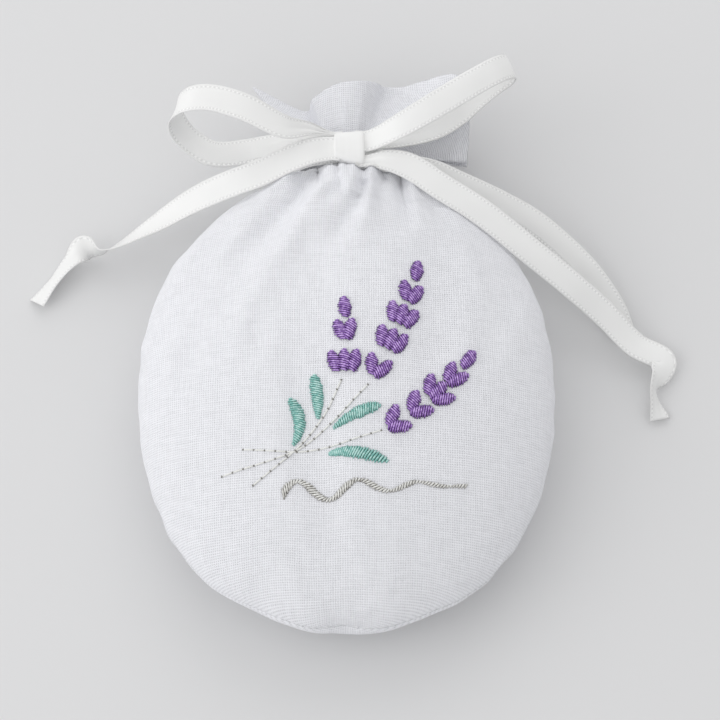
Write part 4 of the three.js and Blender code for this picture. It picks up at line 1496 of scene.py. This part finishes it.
    def build(self) -> None:
        """Make every floret, leaf and stem and the scroll."""
        purple, teal, silver = PURPLE.build(), TEAL.build(), SILVER.build()
        for name, curve, florets in self.sprigs:
            share = np.arange(len(florets)) / (len(florets) - 1)
            feet, tangents = bezier(np.array(curve), share)
            for i, petals in enumerate(florets):
                heading = math.atan2(-tangents[i, 1], -tangents[i, 0])
                self.floret(f"{name}_floret_{i + 1}", feet[i], heading, petals, purple)
        for i, midrib in enumerate(self.leaves):
            self.leaf(f"leaf_{i + 1}", midrib, teal)
        for layer, (name, start, rest) in enumerate(self.stems):
            self.stem(name, layer, np.array([start, self.crossing, *rest]), silver)
        self.scroll(silver)


@dataclass
class SeamStitches:
    """The line of small stitches in the groove where the two panels meet."""

    bag: LinenBag
    stitch: float = 2.2
    gap: float = 0.7
    radius: float = 0.2
    tone: float = 0.7
    end: float = 2.0
    rings: int = 5
    sides: int = 6

    def build(self) -> None:
        """Make short tubes along the seam, from one side of the neck round the bottom."""
        line = self.bag.seam(self.end)
        length = arc_lengths(line, 0)[-1]
        count = int(length / (self.stitch + self.gap))
        begin = np.linspace(0.0, length - self.stitch, count)
        at = begin[:, None] + np.linspace(0.0, self.stitch, self.rings)[None]
        middle = at_lengths(line, at)
        aside = np.cross(unit(np.gradient(middle, axis=1)), UP)
        patch = tubes(middle, aside, self.radius, at, self.tone, self.sides)
        sew_on(make_piece("sewn_seam", [patch], COTTON.build()), "seam_thread")


# Bow


@dataclass(frozen=True)
class Station:
    """A place on a ribbon: its middle, the way to its near edge and the share of its width that is open."""

    at: tuple[float, float, float]
    near: tuple[float, float, float]
    open: float = 1.0


class Height(Enum):
    """How a station's height is given: above the knot, or as a share of the knot's height."""

    RISE = 1
    SHARE = 2


LOOP_NEAR_LEFT = (-2.0, -5.5, -1.5)
LOOP_NEAR_RIGHT = (2.4, -5.2, -1.5)
ROUTES = {
    "left_loop": (
        Station((0.0, 4.0, 1.0), (0.0, -6.0, 0.0), 0.15),
        Station((-4.5, 4.4, 2.6), (-0.5, -6.0, 0.0), 0.52),
        Station((-10.3, 3.4, 5.4), (-1.2, -5.7, -0.8), 0.9),
        Station((-19.0, 7.1, 7.6), LOOP_NEAR_LEFT),
        Station((-27.0, 9.8, 7.1), LOOP_NEAR_LEFT),
        Station((-32.0, 10.2, 5.1), LOOP_NEAR_LEFT),
        Station((-34.7, 10.0, 0.6), LOOP_NEAR_LEFT),
        Station((-33.9, 8.4, -4.4), LOOP_NEAR_LEFT),
        Station((-31.5, 6.6, -7.1), (-1.0, -5.8, -1.0)),
        Station((-26.6, 4.4, -8.8), (0.0, -5.8, -1.0)),
        Station((-19.8, 4.6, -8.5), (0.5, -5.8, -0.8)),
        Station((-13.5, 5.0, -6.3), (0.8, -5.8, -0.5), 0.9),
        Station((-5.0, 4.8, -2.2), (0.5, -6.0, 0.0), 0.5),
        Station((0.0, 4.2, -0.4), (0.0, -6.0, 0.0), 0.15),
    ),
    "right_loop": (
        Station((0.0, 2.3, 1.0), (0.0, -6.0, 0.0), 0.88),
        Station((7.4, 4.0, 5.1), (1.6, -5.6, -0.8), 0.95),
        Station((16.2, 8.7, 7.1), LOOP_NEAR_RIGHT),
        Station((24.7, 14.1, 7.6), LOOP_NEAR_RIGHT),
        Station((29.7, 17.5, 6.6), LOOP_NEAR_RIGHT),
        Station((32.1, 19.4, 4.1), LOOP_NEAR_RIGHT),
        Station((31.1, 19.2, 1.1), LOOP_NEAR_RIGHT),
        Station((28.2, 18.0, -0.9), LOOP_NEAR_RIGHT),
        Station((24.3, 15.6, -3.2), LOOP_NEAR_RIGHT),
        Station((20.4, 12.5, -4.6), LOOP_NEAR_RIGHT),
        Station((15.2, 8.7, -4.2), (2.2, -5.4, -1.0)),
        Station((7.5, 4.6, -1.9), (1.6, -5.6, -0.5), 0.8),
        Station((0.0, 2.4, -0.4), (0.0, -6.0, 0.0), 0.55),
    ),
    "left_tail": (
        Station((-0.6, 0.3, 1.04), (0.2, -5.9, -0.6), 0.95),
        Station((-5.0, -0.8, 1.07), (0.5, -5.8, -0.8)),
        Station((-10.3, -3.0, 1.06), (1.0, -5.6, -1.2)),
        Station((-15.6, -5.3, 1.01), (1.3, -5.3, -2.0)),
        Station((-20.9, -6.6, 0.93), (1.3, -5.3, -2.2)),
        Station((-26.4, -7.7, 0.8), (1.2, -5.4, -1.6)),
        Station((-31.6, -8.95, 0.65), (0.9, -5.6, -0.4)),
        Station((-37.1, -10.85, 0.48), (0.5, -5.5, 1.0)),
        Station((-40.8, -12.25, 0.38), (0.2, -5.0, 2.4)),
        Station((-51.0, -16.2, 0.2), (-0.4, -2.4, 5.4)),
        Station((-55.4, -15.2, 0.17), (-1.0, 4.4, 3.8)),
        Station((-59.0, -18.2, 0.13), (-2.0, 3.4, -3.0)),
        Station((-62.7, -23.0, 0.08), (-3.0, 1.6, -3.4), 0.75),
        Station((-65.9, -27.7, 0.06), (-4.0, 2.0, -2.0), 0.75),
    ),
    "right_tail": (
        Station((0.0, -2.5, 1.03), (0.0, -6.0, 0.0), 0.5),
        Station((4.1, -2.6, 1.06), (-1.5, -5.6, -0.6), 0.82),
        Station((9.0, -4.0, 1.06), (-2.6, -5.2, -1.0)),
        Station((16.2, -8.7, 1.02), (-3.2, -4.9, -1.2)),
        Station((26.1, -14.7, 0.91), (-3.4, -4.7, -1.2)),
        Station((36.0, -21.8, 0.74), (-3.6, -4.6, -1.0)),
        Station((44.9, -27.9, 0.55), (-3.7, -4.6, -0.8)),
        Station((52.8, -33.5, 0.35), (-3.8, -4.6, -0.4)),
        Station((59.3, -39.1, 0.19), (-4.2, -4.2, 0.6)),
        Station((65.5, -42.5, 0.14), (-5.7, -1.8, 0.8)),
        Station((64.9, -45.6, 0.14), (-4.6, 0.4, 3.2), 0.95),
        Station((63.2, -49.0, 0.13), (-2.0, -0.6, 5.6), 0.8),
        Station((64.3, -55.9, 0.05), (-5.0, 1.6, 0.6), 0.75),
    ),
    "right_tail_back": (
        Station((0.0, -2.5, 0.96), (0.0, -6.0, 0.0), 0.5),
        Station((7.5, -2.5, 0.94), (-1.5, -5.6, -0.6), 0.8),
        Station((14.6, -3.9, 0.89), (-2.2, -5.4, -0.8)),
        Station((20.6, -6.0, 0.81), (-2.6, -5.3, -0.8)),
        Station((29.8, -8.9, 0.64), (-2.6, -5.4, -0.6)),
        Station((37.0, -11.9, 0.5), (-3.0, -5.1, -0.4)),
        Station((43.7, -16.5, 0.36), (-3.6, -4.8, -0.2)),
        Station((49.6, -22.0, 0.24), (-4.4, -4.0, 0.0)),
        Station((54.8, -29.5, 0.12), (-5.0, -3.2, 0.0)),
        Station((57.6, -35.4, 0.045), (-5.0, -3.2, 0.0), 0.8),
    ),
}


@dataclass
class Ribbon:
    """One strand of the bow: a flat strip through its stations that lies over the bag and the table."""

    name: str
    body: str
    side: int
    heights: Height
    loop: bool
    start: tuple[float, float, float]
    width: float = 6.0
    thickness: float = 0.26
    clearance: float = 0.3
    cup: float = 0.22
    gather: float = 0.28
    pleats: float = 2.5
    tuck: float = 2.6
    bend_reach: float = 6.0
    steps: int = 14
    across: int = 12
    path_step: int = 4

    def stations(self) -> tuple[np.ndarray, np.ndarray, np.ndarray]:
        """Middles, half-width vectors and open shares, with the ends tucked into the knot.

        Returns:
            The three arrays, with a row for each station and each tucked end.
        """
        route = ROUTES[self.name]
        start = np.array(self.start)
        at = np.array([station.at for station in route])
        middles = start + at
        if self.heights is Height.SHARE:
            middles[:, 2] = start[2] * at[:, 2]
        open_share = np.array([station.open for station in route])
        spans = unit(np.array([station.near for station in route]))
        spans = spans * (0.5 * self.width * open_share)[:, None]
        inside = np.array([-self.side * self.tuck, 0.0, 0.0])
        ends = [0, len(route)] if self.loop else [0]
        for end in reversed(ends):
            first = min(end, len(middles) - 1)
            middles = np.insert(middles, end, middles[first] + inside, axis=0)
            spans = np.insert(spans, end, spans[first], axis=0)
            open_share = np.insert(open_share, end, open_share[first])
        return middles, spans, open_share

    def strip(self, bag: LinenBag) -> tuple[np.ndarray, np.ndarray, np.ndarray, np.ndarray]:
        """The strip: points at middle + half * t with a slight cup, pleated where it is drawn in.

        Args:
            bag: What it lies on.

        Returns:
            The strip's upper and lower faces, rows x columns x 3, its middle line and its open
            share along that line.
        """
        middles, spans, open_share = self.stations()
        line = catmull_rom(middles, self.steps)
        half = catmull_rom(spans, self.steps)
        opened = np.interp(np.arange(len(line)) / self.steps, np.arange(len(open_share)), open_share)
        tangent = unit(np.gradient(line, axis=0))
        size = np.linalg.norm(half, axis=1, keepdims=True)
        half = half - tangent * np.sum(half * tangent, axis=1, keepdims=True)
        half = unit(half) * size
        normal = unit(np.cross(half, tangent))
        t = np.linspace(-1.0, 1.0, self.across + 1)[None, :, None]
        pleat = self.gather * (1.0 - opened)[:, None, None] * np.cos(self.pleats * math.pi * t)
        cup = -self.cup * t**2 + pleat
        points = line[:, None] + half[:, None] * t + normal[:, None] * cup
        low = points[..., 2] - 0.5 * self.thickness * np.abs(normal[:, None, 2])
        ground = np.maximum(bag.height(points[..., 0], points[..., 1]) + self.clearance, 0.0)
        points[..., 2] += np.maximum(0.0, ground - low)
        sheet_normal = unit(np.cross(np.gradient(points, axis=1), np.gradient(points, axis=0)))
        offset = 0.5 * self.thickness * sheet_normal
        return points + offset, points - offset, line, opened

    def build(self, bag: LinenBag, satin: bpy.types.Material) -> None:
        """Args:
            bag: What it lies on.
            satin: Its finish.
        """
        upper, lower, line, opened = self.strip(bag)
        ring = np.concatenate([upper, lower[:, ::-1]], axis=1)
        along = arc_lengths(line, 0)[:, None]
        half = np.linspace(-0.5, 0.5, self.across + 1) * self.width
        across = np.concatenate([half, half[::-1], half[:1]])[None]
        uv = join(along, across) * MM
        patch = Patch(ring[None], uv[None], opened[None, :, None], closed=True, capped=True)
        piece = make_piece(f"ribbon_{self.name}", [patch], satin)
        path = place(line[::self.path_step])
        exit_point = place(self.start)
        bend = exit_point + np.array([self.side * self.bend_reach * MM, 0.0, 0.0])
        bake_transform(piece)
        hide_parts(self.name)
        length = float(arc_lengths(path, 0)[-1])


@dataclass
class Bow:
    """The ribbon: a turn round the neck, the wrap over the middle, two loops and the tails."""

    bag: LinenBag
    knot_offset: float = 0.5
    knot_width: float = 7.0
    knot_left_edges: tuple[float, float] = (54.2, 60.4)
    knot_right_edges: tuple[float, float] = (52.2, 61.1)
    knot_depth: float = 3.8
    knot_gap: float = 0.5
    knot_height: float = 20.85
    knot_rows: int = 41
    knot_columns: int = 72
    knot_square: float = 3.0
    knot_round: float = 6.0
    knot_ends: float = 0.35
    knot_creases: tuple = ((0.008, 9.0, 0.0, 0.6), (0.005, 17.0, 1.0, 0.0))
    knot_rims: tuple = ((0.08, -0.87, 0.07), (0.03, 0.88, 0.06))
    tie_middle: float = 56.0
    band_middle: float = 56.7
    band_width: float = 4.4
    band_half_width: float = 11.4
    band_half_depth: float = 6.25
    band_rows: int = 144
    band_columns: int = 32
    band_ridge: float = 0.12
    band_ridges: float = 3.0
    band_unevenness: float = 0.2
    band_waves: tuple = ((7, 11), 2)
    band_uv_half: float = 2.9
    ribbon_thickness: float = 0.4

    def strands(self) -> list[Ribbon]:
        """The loops and tails, each from its own side of the knot."""
        reach = 0.5 * self.knot_width + self.knot_gap
        strands = []
        for name in ROUTES:
            side = -1 if name.startswith("left") else 1
            loop = name.endswith("loop")
            start = (self.knot_offset + side * reach, self.tie_middle, self.knot_height)
            body = "right_tail" if name == "right_tail_back" else name
            heights = Height.RISE if loop else Height.SHARE
            strands.append(Ribbon(name, body, side, heights, loop, start))
        return strands

    def wrap(self) -> Patch:
        """The wrap: a rounded box carried across the bow, creased along and rounded at its sides.

        A section is the superellipse |y|^3 + |z|^3 = 1, shrunk towards each side as the sixth root
        of 1 - t^6. It is longer on the right than on the left, where its edge stands up.

        Returns:
            Closed rings from its left side to its right.
        """
        t = np.linspace(-1.0, 1.0, self.knot_rows)[:, None]
        turn = full_turn(self.knot_columns)[None]
        cosine, sine = np.cos(turn), np.sin(turn)
        square, least = self.knot_square, 1e-4
        size = (np.abs(cosine) ** square + np.abs(sine) ** square) ** (-1.0 / square)
        side = np.maximum(1.0 - np.abs(t) ** self.knot_round, least) ** (1.0 / self.knot_round)
        crease = 1.0 + sum(deep * np.cos(count * t + phase + skew * cosine)
                           for deep, count, phase, skew in self.knot_creases)
        rim = 1.0 + sum(high * bell(t - at, wide) for high, at, wide in self.knot_rims)
        near, far = (lerp(left, right, 0.5 + 0.5 * t)
                     for left, right in zip(self.knot_left_edges, self.knot_right_edges))
        y = 0.5 * (near + far) + 0.5 * (far - near) * cosine * size * lerp(self.knot_ends, 1.0, side)
        z = 0.5 * self.knot_depth * sine * size * side * crease * rim
        x = self.knot_offset + 0.5 * self.knot_width * t
        points = join(x, y, self.knot_height + z)
        uv = join(arc_lengths(wrapped(points), 1), 2.0 * t) * MM
        return Patch(points[None, :, ::-1], uv[None, :, ::-1], closed=True, capped=True)

    def band(self) -> Patch:
        """The turn round the neck: a rounded strip, bunched into three ridges, carried round an ellipse.

        Returns:
            Closed rings round the strip, of which the last is the first.
        """
        turn = full_turn(self.band_rows)[:, None]
        around = full_turn(self.band_columns)[None]
        out = 0.5 * self.ribbon_thickness * (1.0 + np.sin(around))
        ridges = self.band_ridge * (1.0 + np.cos(self.band_ridges * math.pi * np.cos(around)))
        uneven = lerp(1.0, irregular_wave(turn, *self.band_waves), self.band_unevenness)
        out = out + ridges * (np.sin(around) > 0.0) * uneven
        x = (self.band_half_width + out) * np.cos(turn)
        z = self.bag.seam_height + (self.band_half_depth + out) * np.sin(turn)
        y = self.band_middle + 0.5 * self.band_width * np.cos(around)
        points = join(x, y, z)
        across = self.band_uv_half * np.cos(np.append(around, 0.0))
        uv = join(self.band_half_width * turn, across) * MM
        points = np.concatenate([points, points[:1]])
        uv = np.concatenate([uv, uv[:1]])
        return Patch(points[None], uv[None], closed=True)

    def build(self) -> None:
        """Make the strands first, then the wrap and the band, which ride on the bag."""
        satin = SATIN.build()
        for strand in self.strands():
            strand.build(self.bag, satin)
        for name, patch in (("bow_knot", self.wrap()), ("neck_band", self.band())):
            piece = make_piece(f"ribbon_{name}", [patch], satin, merge=True)
            sew_on(piece, name)


# Studio


@dataclass(frozen=True)
class Lamp:
    """A square soft lamp that faces the middle of the table."""

    name: str
    power: float
    place: tuple[float, float, float]
    size: float

    def hang(self) -> None:
        """Add the lamp to the scene."""
        data = bpy.data.lights.new(self.name, "AREA")
        data.energy = self.power
        data.size = self.size
        lamp = bpy.data.objects.new(self.name, data)
        lamp.location = self.place
        lamp.rotation_euler = Vector(self.place).to_track_quat("Z", "Y").to_euler()
        bpy.context.scene.collection.objects.link(lamp)


@dataclass
class Studio:
    """Camera at the photograph's angle, a pale table and soft light from the upper left."""

    target: tuple[float, float, float] = (0.00294, -0.00313, 0.012)
    distance: float = 0.6
    elevation: float = 66.0
    lens: float = 138.0
    sensor: float = 36.0
    lamps: tuple[Lamp, ...] = (
        Lamp("key", 2.9, (-1.08, 0.0, 0.35), 1.2),
        Lamp("fill", 2.9, (-0.85, -0.45, 0.6), 1.2),
        Lamp("window", 3.6, (0.05, 1.0, 0.6), 1.2),
    )
    sky: float = 0.73
    sky_colour: Colour = (0.99, 0.992, 1.0, 1.0)
    table_size: float = 4.0
    table_points: int = 9
    table_drop: float = 0.0002

    def camera(self) -> None:
        """Place the camera."""
        data = bpy.data.cameras.new("camera")
        data.lens = self.lens
        data.sensor_width = self.sensor
        camera = bpy.data.objects.new("camera", data)
        lift = math.radians(self.elevation)
        back = Vector((0.0, -math.cos(lift), math.sin(lift)))
        camera.location = Vector(self.target) + self.distance * back
        camera.rotation_euler = (-back).to_track_quat("-Z", "Y").to_euler()
        bpy.context.scene.collection.objects.link(camera)
        bpy.context.scene.camera = camera

    def table(self) -> None:
        """Lay the table: a wide flat grid just below the sachet."""
        reach = np.linspace(-0.5, 0.5, self.table_points) * self.table_size / MM
        x, y = np.meshgrid(reach, reach, indexing="xy")
        points = join(x, y, -self.table_drop / MM)
        patch = Patch(points[None, :, ::-1], points[None, :, ::-1, :2] * MM)
        make_piece("table_top", [patch], TABLE.build())

    def light(self) -> None:
        """Hang the soft lamps under an even pale sky."""
        for lamp in self.lamps:
            lamp.hang()
        world = bpy.data.worlds.new("sky")
        world.use_nodes = True
        background = world.node_tree.nodes["Background"]
        background.inputs["Color"].default_value = self.sky_colour
        background.inputs["Strength"].default_value = self.sky
        bpy.context.scene.world = world
        bpy.context.scene.view_settings.view_transform = "Standard"


def frame_shift(bag: LinenBag) -> np.ndarray:
    """Shift from the bag's coordinates to the frame, in millimetres, from where its solids lie.

    Args:
        bag: The bag.

    Returns:
        The shift along x, y and z.
    """
    low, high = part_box("inner_pouch")
    across = 0.5 * (low.x + high.x) / MM
    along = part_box("front_panel")[0].y / MM + bag.lower
    return np.array([across, along, 0.0])


FRAME_SHIFT = frame_shift(LinenBag())


def main() -> None:
    """Build the studio, the ribbon, the bag and everything sewn to it."""
    logging.basicConfig(level=logging.INFO, format="%(name)s: %(message)s")
    studio = Studio()
    studio.camera()
    bag = LinenBag()
    bag.shape()
    bag.settle()
    Bow(bag).build()
    bag.build()
    Filling(bag).build()
    SeamStitches(bag).build()
    Needlework(bag).build()
    studio.table()
    studio.light()


if __name__ == "__main__":
    main()
